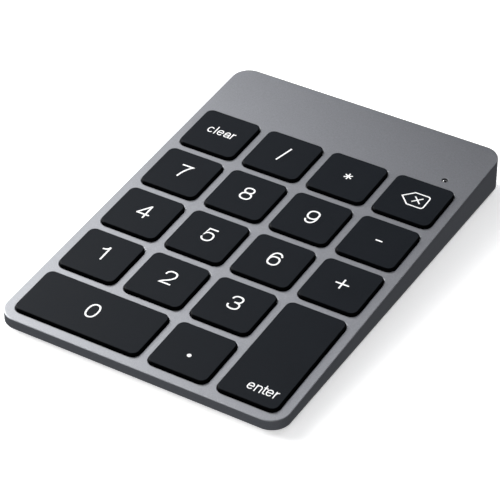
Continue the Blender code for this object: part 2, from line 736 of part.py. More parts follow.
def build_keys():
    meshes = {}
    arm = arm_mesh()
    bar = bar_mesh()
    for name, column, row, wide, deep in KEYS:
        if (wide, deep) not in meshes:
            width = CAP_WIDTH + (wide - 1) * COLUMN_PITCH
            depth = CAP_DEPTH + (deep - 1) * ROW_PITCH
            meshes[wide, deep] = cap_mesh("keycap", width, depth)
        centre = key_place(column, row)
        cap = add_part("keycap_" + name, meshes[wide, deep], KEY_PLASTIC, DECK, centre)
        shade_round(cap)
        pivot = centre + Vector((0, ARM_PIVOT_Y, ARM_PIVOT_Z))
        turn = (-arm_rest_angle(), 0, 0)
        add_part("scissor_arm_" + name, arm, NYLON, DECK, pivot, turn)
        if wide > 1:
            pivot = centre + Vector((0, BAR_LEG - BAR_OFFSET_0, BAR_PIVOT_Z))
            add_part("stabiliser_bar_" + name, bar, STEEL, DECK, pivot, (-bar_rest_angle(), 0, 0))
        if deep > 1:
            pivot = centre + Vector((BAR_OFFSET_ENTER - BAR_LEG, 0, BAR_PIVOT_Z))
            turn = (-bar_rest_angle(), 0, math.radians(90))
            add_part("stabiliser_bar_" + name, bar, STEEL, DECK, pivot, turn)


# Electronics


def build_board():
    board = add_part("main_pcb", block(PCB_SIZE, PCB_LOW, 1 * MM, 2), PCB_GREEN)
    sink = PCB_TOP - CHIP_SINK
    light = deck_point(Vector((LIGHT_X, LIGHT_Y, -LIGHT_PIPE_LENGTH)))
    shapes = [block(size, (spot.x, spot.y, sink)) for size, spot in CHIPS]
    shapes.append(block(LED_SIZE, (light.x, light.y, sink)))
    combine(board, add_cutter("pcb_chips", group(shapes)), "UNION")


def build_battery():
    pouch = block(BATTERY_SIZE, BATTERY_LOW, 1.5 * MM, 2)
    bevel(pouch, rim(pouch, faces_facing(pouch, (0, 0, 1))), 0.5 * MM, 1)
    add_part("battery", pouch, FOIL)
    start = BATTERY_LOW.y + BATTERY_SIZE.y / 2 + LEAD_GAP
    chip_size, chip_spot = CHIPS[2]
    end = chip_spot.y - chip_size.y / 2 - LEAD_GAP
    corners = [
        Vector((LEAD_X, start, LEAD_LOW)),
        Vector((LEAD_X, start + 2 * MM, LEAD_LOW)),
        Vector((LEAD_X, start + 4 * MM, LEAD_HIGH)),
        Vector((LEAD_X, end, LEAD_HIGH)),
    ]
    path = rounded_path(corners, 1 * MM)
    add_part("battery_lead", wire_mesh("battery_lead", path, LEAD_RADIUS, LEAD_RED), LEAD_RED)


def usb_centre_z():
    return PCB_TOP + MOUNT_GAP + USB_HEIGHT / 2


def build_usb_port():
    """A flat oval shell, open to the rear, with a tongue inside."""
    bm = block((USB_WIDTH, USB_HEIGHT, USB_LENGTH), (0, 0, 0))
    upright = [e for e in bm.edges if abs(e.verts[0].co.z - e.verts[1].co.z) > USB_LENGTH / 2]
    bevel(bm, upright, USB_HEIGHT / 2 - 0.05 * MM, 4)
    mouth = faces_facing(bm, (0, 0, 1))
    bmesh.ops.inset_region(bm, faces=mouth, thickness=USB_SKIN, use_even_offset=True)
    made = bmesh.ops.extrude_face_region(bm, geom=mouth)
    bmesh.ops.delete(bm, geom=mouth, context="FACES_ONLY")
    floor = [g for g in made["geom"] if isinstance(g, bmesh.types.BMVert)]
    bmesh.ops.translate(bm, vec=(0, 0, USB_FLOOR - USB_LENGTH), verts=floor)
    place = (0, REAR_FACE - USB_SETBACK - USB_LENGTH, usb_centre_z())
    turn = (math.radians(-90), 0, 0)
    port = add_part("usb_c_port", bm, STEEL, place=place, turn=turn)
    helper = add_cutter("usb_tongue", block(USB_TONGUE, (0, 0, USB_FLOOR / 2)))
    helper.location = place
    helper.rotation_euler = turn
    combine(port, helper, "UNION")


def build_power_switch():
    low = Vector((SWITCH_X, PCB_REAR - SWITCH_SIZE.y / 2, PCB_TOP + MOUNT_GAP))
    body = add_part("power_switch_body", block(SWITCH_SIZE, low), SWITCH_PLASTIC)
    groove_width = KNOB_SIZE.x + SWITCH_TRAVEL + 2 * WALL_CLEARANCE
    groove_height = KNOB_SIZE.z + 2 * FLANGE_GAP
    groove_low = (SWITCH_X, PCB_REAR, CONTROL_Z - groove_height / 2)
    groove = block((groove_width, SWITCH_GROOVE, groove_height), groove_low)
    combine(body, add_cutter("switch_groove", groove), "DIFFERENCE")

    knob = block(KNOB_SIZE, (0, 0, -KNOB_SIZE.z / 2))
    bevel(knob, rim(knob, faces_facing(knob, (0, 1, 0))), 0.2 * MM, 2)
    place = (
        SWITCH_X - SWITCH_TRAVEL / 2,
        REAR_FACE + KNOB_PROUD - KNOB_SIZE.y / 2,
        CONTROL_Z,
    )
    add_part("power_switch_knob", knob, SWITCH_PLASTIC, place=place)


def build_pairing_button():
    low = Vector((BUTTON_X, PCB_REAR - PAIRING_SWITCH_SIZE.y / 2, PCB_TOP + MOUNT_GAP))
    switch = block(PAIRING_SWITCH_SIZE, low, 0.4 * MM, 1)
    add_part("pairing_switch", switch, SWITCH_PLASTIC)

    inner = -WALL - FLANGE_GAP
    profile = [
        (0, BUTTON_PROUD),
        (BUTTON_RADIUS - 0.3 * MM, BUTTON_PROUD),
        (BUTTON_RADIUS, BUTTON_PROUD - 0.3 * MM),
        (BUTTON_RADIUS, inner),
        (BUTTON_FLANGE, inner),
        (BUTTON_FLANGE, inner - FLANGE_THICKNESS),
        (0, inner - FLANGE_THICKNESS),
    ]
    turn = (math.radians(-90), 0, 0)
    place = (BUTTON_X, REAR_FACE, CONTROL_Z)
    turned_part("pairing_button", profile, SWITCH_PLASTIC, 16, place=place, turn=turn)


def build_status_light():
    collar = -DECK_THICKNESS - LIGHT_PIPE_TIP
    under_collar = collar - LIGHT_COLLAR_THICKNESS
    profile = [
        (0, -LIGHT_PIPE_TIP),
        (0.5 * LIGHT_PIPE_RADIUS, -LIGHT_PIPE_TIP - 0.08 * MM),
        (LIGHT_PIPE_RADIUS, -LIGHT_PIPE_TIP - 0.35 * MM),
        (LIGHT_PIPE_RADIUS, collar),
        (LIGHT_COLLAR_RADIUS, collar),
        (LIGHT_COLLAR_RADIUS, under_collar),
        (LIGHT_PIPE_RADIUS, under_collar),
        (LIGHT_PIPE_RADIUS, -LIGHT_PIPE_LENGTH),
        (0, -LIGHT_PIPE_LENGTH),
    ]
    place = (LIGHT_X, LIGHT_Y, 0)
    turned_part("led_light_pipe", profile, CLEAR_PLASTIC, 12, parent=DECK, place=place)


clear_scene()
PARTS = new_collection("numeric_keypad")
CUTTERS = new_collection("cutters")
DECK = bpy.data.objects.new("deck", None)
DECK.location = (0, 0, DECK_HEIGHT)
DECK.rotation_euler = (DECK_TILT, 0, 0)
PARTS.objects.link(DECK)

ALUMINIUM = new_material("anodised_aluminium", (0.27, 0.28, 0.30), 0.42, 0.9)
KEY_PLASTIC = new_material("key_plastic", (0.02, 0.022, 0.025), 0.5, 0.0)
COVER_PLASTIC = new_material("cover_plastic", (0.05, 0.05, 0.055), 0.6, 0.0)
RUBBER = new_material("rubber", (0.02, 0.02, 0.02), 0.85, 0.0)
STEEL = new_material("steel", (0.55, 0.55, 0.56), 0.35, 1.0)
SILICONE = new_material("silicone", (0.55, 0.57, 0.60), 0.6, 0.0)
FILM = new_material("printed_film", (0.35, 0.38, 0.42), 0.4, 0.0)
NYLON = new_material("white_nylon", (0.75, 0.75, 0.73), 0.5, 0.0)
PCB_GREEN = new_material("circuit_board", (0.02, 0.12, 0.06), 0.45, 0.0)
FOIL = new_material("battery_foil", (0.60, 0.60, 0.62), 0.3, 0.8)
LEAD_RED = new_material("lead_insulation", (0.45, 0.03, 0.02), 0.5, 0.0)
SWITCH_PLASTIC = new_material("switch_plastic", (0.03, 0.03, 0.03), 0.55, 0.0)
CLEAR_PLASTIC = new_material("clear_plastic", (0.75, 0.78, 0.80), 0.1, 0.0)

build_top_case()
build_bottom_cover()
build_fasteners_and_feet()
build_key_stack()
build_keys()
build_board()
build_battery()
build_usb_port()
build_power_switch()
build_pairing_button()
build_status_light()
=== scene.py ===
"""Looks for the numeric keypad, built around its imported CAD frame.

Part frame: +X to the right, +Y to the rear, +Z up, desk at Z = 0. DECK carries the tilted top
surface: its XY plane is the deck, and keys travel along its Z axis.
"""

import json
import math

import bmesh
import bpy
from mathutils import Matrix, Vector


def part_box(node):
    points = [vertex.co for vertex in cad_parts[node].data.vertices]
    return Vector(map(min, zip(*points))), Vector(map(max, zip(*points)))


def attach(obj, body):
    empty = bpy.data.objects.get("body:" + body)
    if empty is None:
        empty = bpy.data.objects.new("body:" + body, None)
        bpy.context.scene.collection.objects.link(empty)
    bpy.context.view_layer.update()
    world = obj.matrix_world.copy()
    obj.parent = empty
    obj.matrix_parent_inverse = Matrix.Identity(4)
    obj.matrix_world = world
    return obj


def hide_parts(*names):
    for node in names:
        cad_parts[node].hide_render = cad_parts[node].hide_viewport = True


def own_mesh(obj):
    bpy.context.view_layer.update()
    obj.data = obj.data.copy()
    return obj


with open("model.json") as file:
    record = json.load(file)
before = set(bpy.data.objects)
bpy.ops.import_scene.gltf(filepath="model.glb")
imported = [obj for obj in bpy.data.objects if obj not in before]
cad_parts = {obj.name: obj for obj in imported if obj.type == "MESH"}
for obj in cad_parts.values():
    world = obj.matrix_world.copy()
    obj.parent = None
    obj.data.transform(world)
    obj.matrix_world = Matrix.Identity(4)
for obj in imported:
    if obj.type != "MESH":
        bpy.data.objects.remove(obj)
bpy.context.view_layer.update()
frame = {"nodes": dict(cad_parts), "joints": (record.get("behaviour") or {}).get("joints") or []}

MM = 0.001
JOINTS = {joint["name"]: joint for joint in frame["joints"]}
KEYS = [name[5:] for name in JOINTS if name.startswith("tilt_")]
SPAN = {"0": (2, 1), "enter": (1, 2)}

# Deck frame, from the joints of the "5" key: its travel is along the deck's normal
ARM_PIVOT = Vector((0, 5.1, -1.42)) * MM
TRAVEL_AXIS = Vector(JOINTS["press_5"]["axis"])
TILT = math.atan2(TRAVEL_AXIS.y, -TRAVEL_AXIS.z)
SPIN = Matrix.Rotation(TILT, 4, "X")
ON_PIVOT = SPIN.inverted() @ Vector(JOINTS["tilt_5"]["pos_m"])
DECK_HEIGHT = (ON_PIVOT.z - ARM_PIVOT.z) / math.cos(TILT)
DECK = Matrix.Translation((0, 0, DECK_HEIGHT)) @ SPIN
UPRIGHT = Matrix.Identity(4)
REARWARD = Matrix.Rotation(math.radians(-90), 4, "X")
SHARP_ANGLE = math.radians(32)

CORNERS = ("front_left", "front_right", "rear_left", "rear_right")

# Case, with sizes that the CAD part also has
CASE_LOW, CASE_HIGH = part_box("top_case")
CASE_CORNER = 5.0 * MM
# Height of the blocks that the deck's plane cuts to a wedge
OVER_CASE = 20 * MM
WALL = 1.3 * MM
DECK_THICKNESS = 1.0 * MM
TOP_CHAMFER = 0.3 * MM
BOTTOM_ROUND = 0.4 * MM
COLUMN_PITCH = 19.05 * MM
ROW_PITCH = 18.65 * MM
WINDOW = Vector((16.95, 16.65)) * MM
WINDOW_CORNER = 2.5 * MM
WINDOW_EDGE = 0.12 * MM
WINDOW_DEPTH = DECK_THICKNESS + 0.6 * MM
LAMP_HOLE = 1.7 * MM
LAMP_HOLE_CORNER = 0.845 * MM
LAMP_HOLE_EDGE = 0.06 * MM
# Rear holes in mm: width, height, corner, rounded edge, and how many segments the corner has
REAR_HOLES = {
    "usb_c_port": (9.54, 3.86, 1.9, 0.2, 8),
    "power_switch_knob": (5.6, 2.1, 0.3, 0.15, 3),
    "pairing_button": (3.6, 3.6, 1.795, 0.15, 10),
}
SWITCH_TRAVEL = 2.4 * MM
# How a hole's volume widens over its rounded edge, and how far it stands over the face
HOLE_FLARE = 1.3
HOLE_ABOVE = 0.3 * MM
PILLAR_RADIUS = 1.8 * MM
PILLAR_FOOT = 2.0 * MM
BORE_RADIUS = 0.65 * MM
BORE_FOOT = 1.0 * MM
BORE_LENGTH = 3.6 * MM
# Stakes stand under the deck, at some of the crossings between keys
STAKES = ((1, 0), (1, 1), (0, 2), (2, 2), (0, 3), (2, 3))
STAKE_RADIUS = 0.7 * MM
STAKE_DROP = 1.6 * MM
# How far a pillar or a stake reaches into the deck
POST_ROOT = 0.4 * MM
HOOK_NOTCH = Vector((8.6, 1.0, 0.8)) * MM
HOOK_NOTCH_SPOT = Vector((20, 1.05, 1.5)) * MM

# Keycaps
CAP = Vector((16.35, 15.95)) * MM
CAP_CORNER = 1.9 * MM
CAP_EDGE = 0.34 * MM
CAP_RISE = 0.83 * MM
CAP_SKIRT = 0.55 * MM
CAP_TOP = 0.7 * MM
CAP_WALL = 0.9 * MM

# Key mechanisms
ARM_SIZE = Vector((12.0, 11.4, 0.4)) * MM
ARM_BAR = 1.2 * MM
ARM_REACH = 10.2 * MM
ARM_CORNER = 0.9 * MM
ARM_HOLE_CORNER = 0.5 * MM
ARM_EDGE = 0.08 * MM
UNDER_CAP = CAP_RISE - CAP_TOP - 0.15 * MM
BAR_RADIUS = 0.3 * MM
BAR_LEG = 5.0 * MM
BAR_HALF_LENGTH = 14.5 * MM
BAR_FOOT = 1.1 * MM
SHEET_TOP = -1.70 * MM
SHEET_THICKNESS = 0.15 * MM
SHEET_SIZE = Vector((75.2, 92.05)) * MM
SHEET_MIDDLE_Y = -8.725 * MM
SHEET_CORNER = 3 * MM
# Holes in the sheet for the stakes, the pillars, the arms' hooks and the bars' hooks
STAKE_HOLE = 1.1 * MM
PILLAR_HOLE = 2.2 * MM
HOOK_SLOT = Vector((1.8, 1.1)) * MM
HOOK_SPOT = Vector((3.6, 6.25)) * MM
BAR_SLOT = Vector((1.4, 1.4)) * MM
BAR_HOOK_OFFSET = 0.9 * MM
DOME_BASE = 2.85 * MM
DOME_FOOT_OUTSIDE = 2.55 * MM
DOME_FOOT_INSIDE = 2.3 * MM
DOME_TOP = 0.30 * MM
DOME_GAP = 0.02 * MM
# A dome's section in mm: radius, and height from just under the cap
DOME_OUTSIDE = (
    (0.95, 0.0), (1.15, -0.06), (1.22, -0.22), (1.42, -0.50), (2.05, -1.05), (2.48, -1.42),
)  # fmt: skip
DOME_INSIDE = ((2.20, -1.46), (1.80, -1.12), (1.22, -0.62), (0.95, -0.38), (0.6, -0.30))

# Sections of turned parts in mm: radius and height, from axis to axis
THREAD_TOP, THREAD_PITCH, THREAD_TURNS = 3.0, 0.22, 9
SCREW_PROFILE = [
    (0, 3.2), (0.45, 3.2),
    *(
        (radius, THREAD_TOP - THREAD_PITCH * (index + late))
        for index in range(THREAD_TURNS) for radius, late in ((0.55, 0), (0.46, 0.5))
    ),
    (0.55, 0.95), (0.62, 0.86), (1.5, 0.14), (1.5, 0.05), (1.45, 0), (0, 0),
]  # fmt: skip
FOOT_PROFILE = [
    (0, 0.95), (4.0, 0.95), (4.0, 0.30), (3.97, 0.19), (3.88, 0.09), (3.78, 0.03), (3.66, 0),
    (3.1, 0), (3.05, 0.04), (2.95, 0.06), (0, 0.06),
]  # fmt: skip
LIGHT_PIPE_PROFILE = [
    (0, 0.10), (0.16, 0.08), (0.31, 0.03), (0.43, -0.04), (0.53, -0.13), (0.62, -0.25),
    (0.69, -0.40), (0.72, -0.62), (0.72, -1.15), (1.3, -1.15), (1.3, -1.55), (0.72, -1.55),
    (0.72, -3.8), (0, -3.8),
]  # fmt: skip

# Screw slots, charging port, knob and button
SCREW_CROSS = (2.0, 0.42)
SCREW_CROSS_HEIGHT = 1.1 * MM
SCREW_CROSS_BELOW = 0.5 * MM
PORT_SKIN = 0.3 * MM
PORT_FLOOR = 1.0 * MM
PORT_TONGUE = Vector((6.6, 0.7, 5.5)) * MM
PORT_EDGE = 0.06 * MM
CONTACTS = 8
CONTACT_PITCH = 0.7 * MM
CONTACT_SIZE = Vector((0.3, 0.06, 3.6)) * MM
CONTACT_START = 1.9 * MM
CONTACT_SINK = 0.01 * MM
KNOB_EDGE = 0.18 * MM
KNOB_GROOVE = Vector((0.22, 0.5, 2)) * MM
KNOB_GROOVE_PITCH = 0.55 * MM
# The button's face in mm: radius, and how far below its highest point
BUTTON_FACE = (
    (0, 0.14), (0.6, 0.11), (1.05, 0.02), (1.28, 0), (1.45, 0.04), (1.58, 0.13), (1.65, 0.28),
)  # fmt: skip
BUTTON_FLANGE = 2.2 * MM
BUTTON_FLANGE_THICKNESS = 0.4 * MM
BUTTON_GAP = 0.2 * MM


def key_centre(name):
    """A key's middle in the deck frame."""
    return DECK.inverted() @ Vector(JOINTS["tilt_" + name]["pos_m"]) - ARM_PIVOT


def key_size(name, single):
    """The width and depth of a keycap or window, from those of a key of one unit."""
    wide, deep = SPAN.get(name, (1, 1))
    return single.x + (wide - 1) * COLUMN_PITCH, single.y + (deep - 1) * ROW_PITCH


def stake_spots(height):
    """Where the stakes stand, at a height in the deck frame."""
    spots = []
    for column, row in STAKES:
        step = Vector(((column - 0.5) * COLUMN_PITCH, (row - 1.5) * ROW_PITCH, 0))
        spots.append(key_centre("5") + step)
        spots[-1].z = height
    return spots


def middle(node):
    """The middle of a CAD node's box."""
    low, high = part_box(node)
    return (low + high) / 2


# Mesh tools


def block(size, low, corner=0, segments=3):
    """A box on the point low, the middle of its underside, with its upright edges rounded."""
    bm = bmesh.new()
    bmesh.ops.create_cube(bm, size=1)
    bmesh.ops.scale(bm, vec=size, verts=bm.verts)
    bmesh.ops.translate(bm, vec=Vector(low) + Vector((0, 0, size[2] / 2)), verts=bm.verts)
    if corner:
        upright = [e for e in bm.edges if abs(e.verts[0].co.z - e.verts[1].co.z) > size[2] / 2]
        bevel(bm, upright, corner, segments)
    return bm


def bevel(bm, edges, width, segments):
    """Edges rounded off by a width."""
    bmesh.ops.bevel(
        bm, geom=edges, offset=width, segments=segments, profile=0.5, affect="EDGES"
    )


def facing(bm, direction, least=0.9):
    """The faces whose normals are close to a direction."""
    bm.normal_update()
    return [f for f in bm.faces if f.normal.dot(Vector(direction)) > least]


def rim(bm, faces):
    """The outer edges of a group of faces."""
    chosen = set(faces)
    return [e for e in bm.edges if sum(f in chosen for f in e.link_faces) == 1]


def cylinder(radius, low, height, segments=32):
    """A cylinder along Z on the point low, the middle of its underside."""
    bm = bmesh.new()
    bmesh.ops.create_cone(
        bm, cap_ends=True, segments=segments, radius1=radius, radius2=radius, depth=height
    )
    bmesh.ops.translate(bm, vec=Vector(low) + Vector((0, 0, height / 2)), verts=bm.verts)
    return bm


def lathe(profile, segments):
    """A closed round solid about Z. The profile is (radius, height) points, from axis to axis."""
    bm = bmesh.new()
    points = [bm.verts.new((radius, 0, height)) for radius, height in profile]
    edges = [bm.edges.new(pair) for pair in zip(points, points[1:])]
    bmesh.ops.spin(
        bm, geom=points + edges, cent=(0, 0, 0), axis=(0, 0, 1), angle=2 * math.pi,
        steps=segments, use_merge=True,
    )  # fmt: skip
    bmesh.ops.remove_doubles(bm, verts=bm.verts, dist=0.002 * MM)
    return bm


def turned(profile, segments):
    """A lathed solid whose profile is in mm."""
    return lathe([(radius * MM, height * MM) for radius, height in profile], segments)


def group(shapes):
    """Several shapes in one mesh."""
    bm = bmesh.new()
    for shape in shapes:
        mesh = bpy.data.meshes.new("group")
        shape.to_mesh(mesh)
        shape.free()
        bm.from_mesh(mesh)
        bpy.data.meshes.remove(mesh)
    return bm


def helper_object(bm):
    """A passing object for a Boolean step."""
    mesh = bpy.data.meshes.new("helper")
    bmesh.ops.recalc_face_normals(bm, faces=bm.faces)
    bm.to_mesh(mesh)
    bm.free()
    item = bpy.data.objects.new("helper", mesh)
    bpy.context.scene.collection.objects.link(item)
    return item


def carve(base, *steps):
    """The base after a chain of (operation, shape) Booleans."""
    items = [helper_object(base)]
    for operation, shape in steps:
        items.append(helper_object(shape))
        modifier = items[0].modifiers.new("step", "BOOLEAN")
        modifier.solver = "EXACT"
        modifier.operation = operation
        modifier.object = items[-1]
    graph = bpy.context.evaluated_depsgraph_get()
    bm = bmesh.new()
    bm.from_object(items[0], graph)
    for item in items:
        mesh = item.data
        bpy.data.objects.remove(item)
        bpy.data.meshes.remove(mesh)
    return bm


def piece(name, shape, material, body, place=UPRIGHT, stands_for=()):
    """A visible piece that rides on a CAD body, in place of some CAD nodes."""
    if isinstance(shape, bpy.types.Mesh):
        mesh = shape
    else:
        bmesh.ops.recalc_face_normals(shape, faces=shape.faces)
        mesh = bpy.data.meshes.new(name)
        shape.to_mesh(mesh)
        shape.free()
        mesh.shade_smooth()
        mesh.set_sharp_from_angle(angle=SHARP_ANGLE)
    if not mesh.materials:
        mesh.materials.append(material)
    item = bpy.data.objects.new(name, mesh)
    bpy.context.scene.collection.objects.link(item)
    item.matrix_world = place
    normals = item.modifiers.new("normals", "WEIGHTED_NORMAL")
    normals.keep_sharp = True
    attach(item, body)
    if stands_for:
        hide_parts(*stands_for)
    return item


# Materials


class Graph:
    """A material's nodes, with short calls to add and link them."""

    def __init__(self, name):
        self.material = bpy.data.materials.new(name)
        self.material.use_nodes = True
        self.nodes = self.material.node_tree.nodes
        self.links = self.material.node_tree.links
        self.shader = self.nodes["Principled BSDF"]
        self.space = self.nodes.new("ShaderNodeTexCoord").outputs["Object"]

    def set(self, name, value):
        """An input of the shader linked to a socket, or given a number or a colour."""
        socket = self.shader.inputs[name]
        if isinstance(value, bpy.types.NodeSocket):
            self.links.new(value, socket)
        else:
            socket.default_value = (*value, 1) if isinstance(value, tuple) else value

    def noise(self, size, detail, stretch=(1, 1, 1), roughness=0.5):
        """Noise whose features are about size metres wide."""
        mapping = self.nodes.new("ShaderNodeMapping")
        mapping.inputs["Scale"].default_value = stretch
        self.links.new(self.space, mapping.inputs["Vector"])
        node = self.nodes.new("ShaderNodeTexNoise")
        node.inputs["Scale"].default_value = 1 / size
        node.inputs["Detail"].default_value = detail
        node.inputs["Roughness"].default_value = roughness
        self.links.new(mapping.outputs["Vector"], node.inputs["Vector"])
        return node.outputs["Fac"]

    def cells(self, size, feature="F1"):
        """The distance to the cells' middles or, by feature, to their borders."""
        node = self.nodes.new("ShaderNodeTexVoronoi")
        node.feature = feature
        node.inputs["Scale"].default_value = 1 / size
        self.links.new(self.space, node.inputs["Vector"])
        return node.outputs["Distance"]

    def waves(self, size, distortion):
        """Bands across X, bent by distortion."""
        node = self.nodes.new("ShaderNodeTexWave")
        node.bands_direction = "X"
        node.inputs["Scale"].default_value = 1 / size
        node.inputs["Distortion"].default_value = distortion
        self.links.new(self.space, node.inputs["Vector"])
        return node.outputs["Fac"]

    def remap(self, value, low, high, start=0.0, end=1.0):
        """value going from start to end becomes low to high."""
        node = self.nodes.new("ShaderNodeMapRange")
        ends = {"From Min": start, "From Max": end, "To Min": low, "To Max": high}
        for name, number in ends.items():
            node.inputs[name].default_value = number
        self.links.new(value, node.inputs["Value"])
        return node.outputs["Result"]

    def mix(self, share, first, second, kind="RGBA"):
        """first at a share of 0 and second at 1, of colours or, by kind, numbers."""
        node = self.nodes.new("ShaderNodeMix")
        node.data_type = kind
        sockets = [s for s in node.inputs if s.enabled]
        for socket, value in zip(sockets, (share, first, second)):
            if isinstance(value, bpy.types.NodeSocket):
                self.links.new(value, socket)
            elif isinstance(value, tuple):
                socket.default_value = (*value, 1)
            else:
                socket.default_value = value
        return next(s for s in node.outputs if s.enabled)

    def bump(self, height, depth, normal=None):
        """The surface roughened by a height map that is depth metres deep."""
        node = self.nodes.new("ShaderNodeBump")
        node.inputs["Distance"].default_value = depth
        self.links.new(height, node.inputs["Height"])
        if normal is not None:
            self.links.new(normal, node.inputs["Normal"])
        self.links.new(node.outputs["Normal"], self.shader.inputs["Normal"])
        return node.outputs["Normal"]

    def upward(self):
        """How far the surface faces up: 1 for a level top, 0 for an upright side."""
        split = self.nodes.new("ShaderNodeSeparateXYZ")
        self.links.new(self.nodes.new("ShaderNodeTexCoord").outputs["Normal"], split.inputs[0])
        return split.outputs["Z"]

    def edges(self):
        """1 on the rounded edge between a top and a side, and 0 on both."""
        rising = self.remap(self.upward(), 0.0, 1.0, 0.10, 0.30)
        level = self.remap(self.upward(), 1.0, 0.0, 0.90, 0.985)
        return self.mix(rising, 0.0, level, "FLOAT")


def shade(color, factor):
    """A lighter or darker colour."""
    return tuple(min(1.0, c * factor) for c in color)


def surface(name, color, rough, metal=0.0, grain=0.3, *, depth, mottle, vary=0.06, ior=1.5):
    """A material with fine grain, in mm and micrometres, and broad changes of tone and gloss."""
    graph = Graph(name)
    broad = graph.noise(6.0 * MM, 3)
    fine = graph.noise(grain * MM, 3, roughness=0.7)
    tone = graph.mix(broad, shade(color, 1 - mottle), shade(color, 1 + mottle))
    speck = graph.remap(fine, 0.0, 0.35)
    graph.set("Base Color", graph.mix(speck, tone, shade(color, 1 + 3 * mottle)))
    graph.set("Metallic", metal)
    graph.set("IOR", ior)
    graph.set("Roughness", graph.remap(broad, rough - vary, rough + vary, 0.3, 0.7))
    graph.bump(fine, depth * 1e-6)
    return graph.material


def anodised():
    """Bead-blasted, anodised aluminium with brighter edges, partly bare diamond-cut metal and
    partly a painted highlight.
    """
    color = (0.272, 0.278, 0.292)
    graph = Graph("anodised_aluminium")
    blast = graph.noise(0.36 * MM, 4, roughness=0.75)
    pits = graph.cells(0.22 * MM)
    broad = graph.noise(14 * MM, 2)
    tone = graph.mix(broad, shade(color, 0.97), shade(color, 1.03))
    contrast = graph.remap(blast, 0.0, 1.0, 0.32, 0.68)
    speck = graph.mix(contrast, shade(color, 0.78), shade(color, 1.22))
    blended = graph.mix(0.5, tone, speck)
    # The rounded edges get a lighter colour: partly the bare cut metal, partly a painted highlight
    # for the bright edge lines
    cut = graph.edges()
    graph.set("Base Color", graph.mix(cut, blended, (0.34, 0.35, 0.37)))
    graph.set("Metallic", 1.0)
    graph.set("Roughness", graph.mix(cut, graph.remap(blast, 0.33, 0.43, 0.3, 0.7), 0.66, "FLOAT"))
    graph.bump(pits, 1.6e-6, graph.bump(blast, 6e-6))
    return graph.material


def key_plastic():
    """Fine matte plastic: soft-touch on top, duller sides, and slightly polished edges. Sides and
    rounded edges are coloured near black as painted shade.
    """
    color = (0.0039, 0.0057, 0.0086)
    graph = Graph("key_plastic")
    fine = graph.noise(0.30 * MM, 3, roughness=0.7)
    broad = graph.noise(9 * MM, 2)
    # Faces that turn away from up, the sides and rounded edges, get a tenth of the colour: painted
    # shade
    level = graph.remap(graph.upward(), 0.0, 1.0, 0.88, 0.995)
    coat = graph.mix(broad, shade(color, 0.9), shade(color, 1.15))
    graph.set("Base Color", graph.mix(level, shade(color, 0.1), coat))
    sheen = graph.remap(level, 0.10, 0.41)
    aside = graph.nodes.new("ShaderNodeLayerWeight").outputs["Facing"]
    grazing = graph.remap(aside, 0.0, 0.85, 0.55, 0.95)
    graph.set("Specular IOR Level", graph.mix(grazing, sheen, 0.0, "FLOAT"))
    rough = graph.remap(broad, 0.46, 0.54, 0.3, 0.7)
    graph.set("Roughness", graph.mix(graph.edges(), rough, 0.40, "FLOAT"))
    graph.set("IOR", 1.20)
    graph.bump(fine, 3e-6)
    return graph.material


ALUMINIUM = anodised()
KEY_PLASTIC = key_plastic()
INK = surface("white_ink", (0.88, 0.88, 0.88), 0.6, grain=0.2, depth=1.5, mottle=0.02)
COVER = surface("cover_plastic", (0.035, 0.036, 0.039), 0.58, grain=0.35, depth=14, mottle=0.05)
RUBBER = surface("foot_rubber", (0.018, 0.018, 0.019), 0.78, grain=0.25, depth=10, mottle=0.12)
STEEL = surface("steel", (0.52, 0.52, 0.53), 0.30, 1.0, grain=0.18, depth=2, mottle=0.05)
GOLD = surface("gold_contact", (0.80, 0.58, 0.22), 0.28, 1.0, grain=0.15, depth=1, mottle=0.04)
SWITCH = surface("switch_plastic", (0.022, 0.022, 0.024), 0.48, grain=0.22, depth=4, mottle=0.08)
SILICONE = surface("dome_silicone", (0.55, 0.57, 0.60), 0.62, grain=0.4, depth=3, mottle=0.08)
NYLON = surface("arm_nylon", (0.70, 0.70, 0.68), 0.46, grain=0.3, depth=3, mottle=0.03)
# The light pipe is clear; its near-black colour is painted shade for the unlit hole seen through
# it
PIPE_PAINTED_SHADE = surface(
    "light_pipe", (0.003, 0.003, 0.004), 0.12, depth=1, mottle=0.04, vary=0.04, ior=2.1
)
LEAD = surface("lead_insulation", (0.42, 0.025, 0.02), 0.42, grain=0.3, depth=3, mottle=0.06)


def circuit_board():
    """Solder mask over copper tracks."""
    graph = Graph("circuit_board")
    tracks = graph.remap(graph.cells(1.6 * MM, "DISTANCE_TO_EDGE"), 1.0, 0.0, 0.02, 0.05)
    weave = graph.noise(0.5 * MM, 2)
    mask = graph.mix(weave, (0.012, 0.085, 0.042), (0.018, 0.115, 0.058))
    graph.set("Base Color", graph.mix(tracks, mask, (0.05, 0.20, 0.09)))
    graph.set("Roughness", graph.remap(weave, 0.30, 0.42))
    graph.bump(tracks, 2e-5)
    return graph.material


def printed_film():
    """Clear film with printed silver tracks."""
    graph = Graph("printed_film")
    tracks = graph.remap(graph.waves(1.3 * MM, 2.5), 0.0, 1.0, 0.62, 0.70)
    haze = graph.noise(3 * MM, 3)
    film = graph.mix(haze, (0.16, 0.18, 0.20), (0.22, 0.24, 0.27))
    graph.set("Base Color", graph.mix(tracks, film, (0.50, 0.51, 0.52)))
    graph.set("Roughness", graph.remap(haze, 0.25, 0.40))
    graph.bump(tracks, 1e-5)
    return graph.material


def foil():
    """A battery pouch's crinkled laminate."""
    graph = Graph("battery_foil")
    crinkle = graph.cells(5 * MM)
    fine = graph.noise(1.2 * MM, 4, stretch=(1, 0.4, 1))
    graph.set("Base Color", graph.mix(fine, (0.52, 0.52, 0.53), (0.62, 0.62, 0.64)))
    graph.set("Metallic", 0.9)
    graph.set("Roughness", graph.remap(fine, 0.26, 0.42))
    graph.bump(crinkle, 8e-5, graph.bump(fine, 3e-5))
    return graph.material


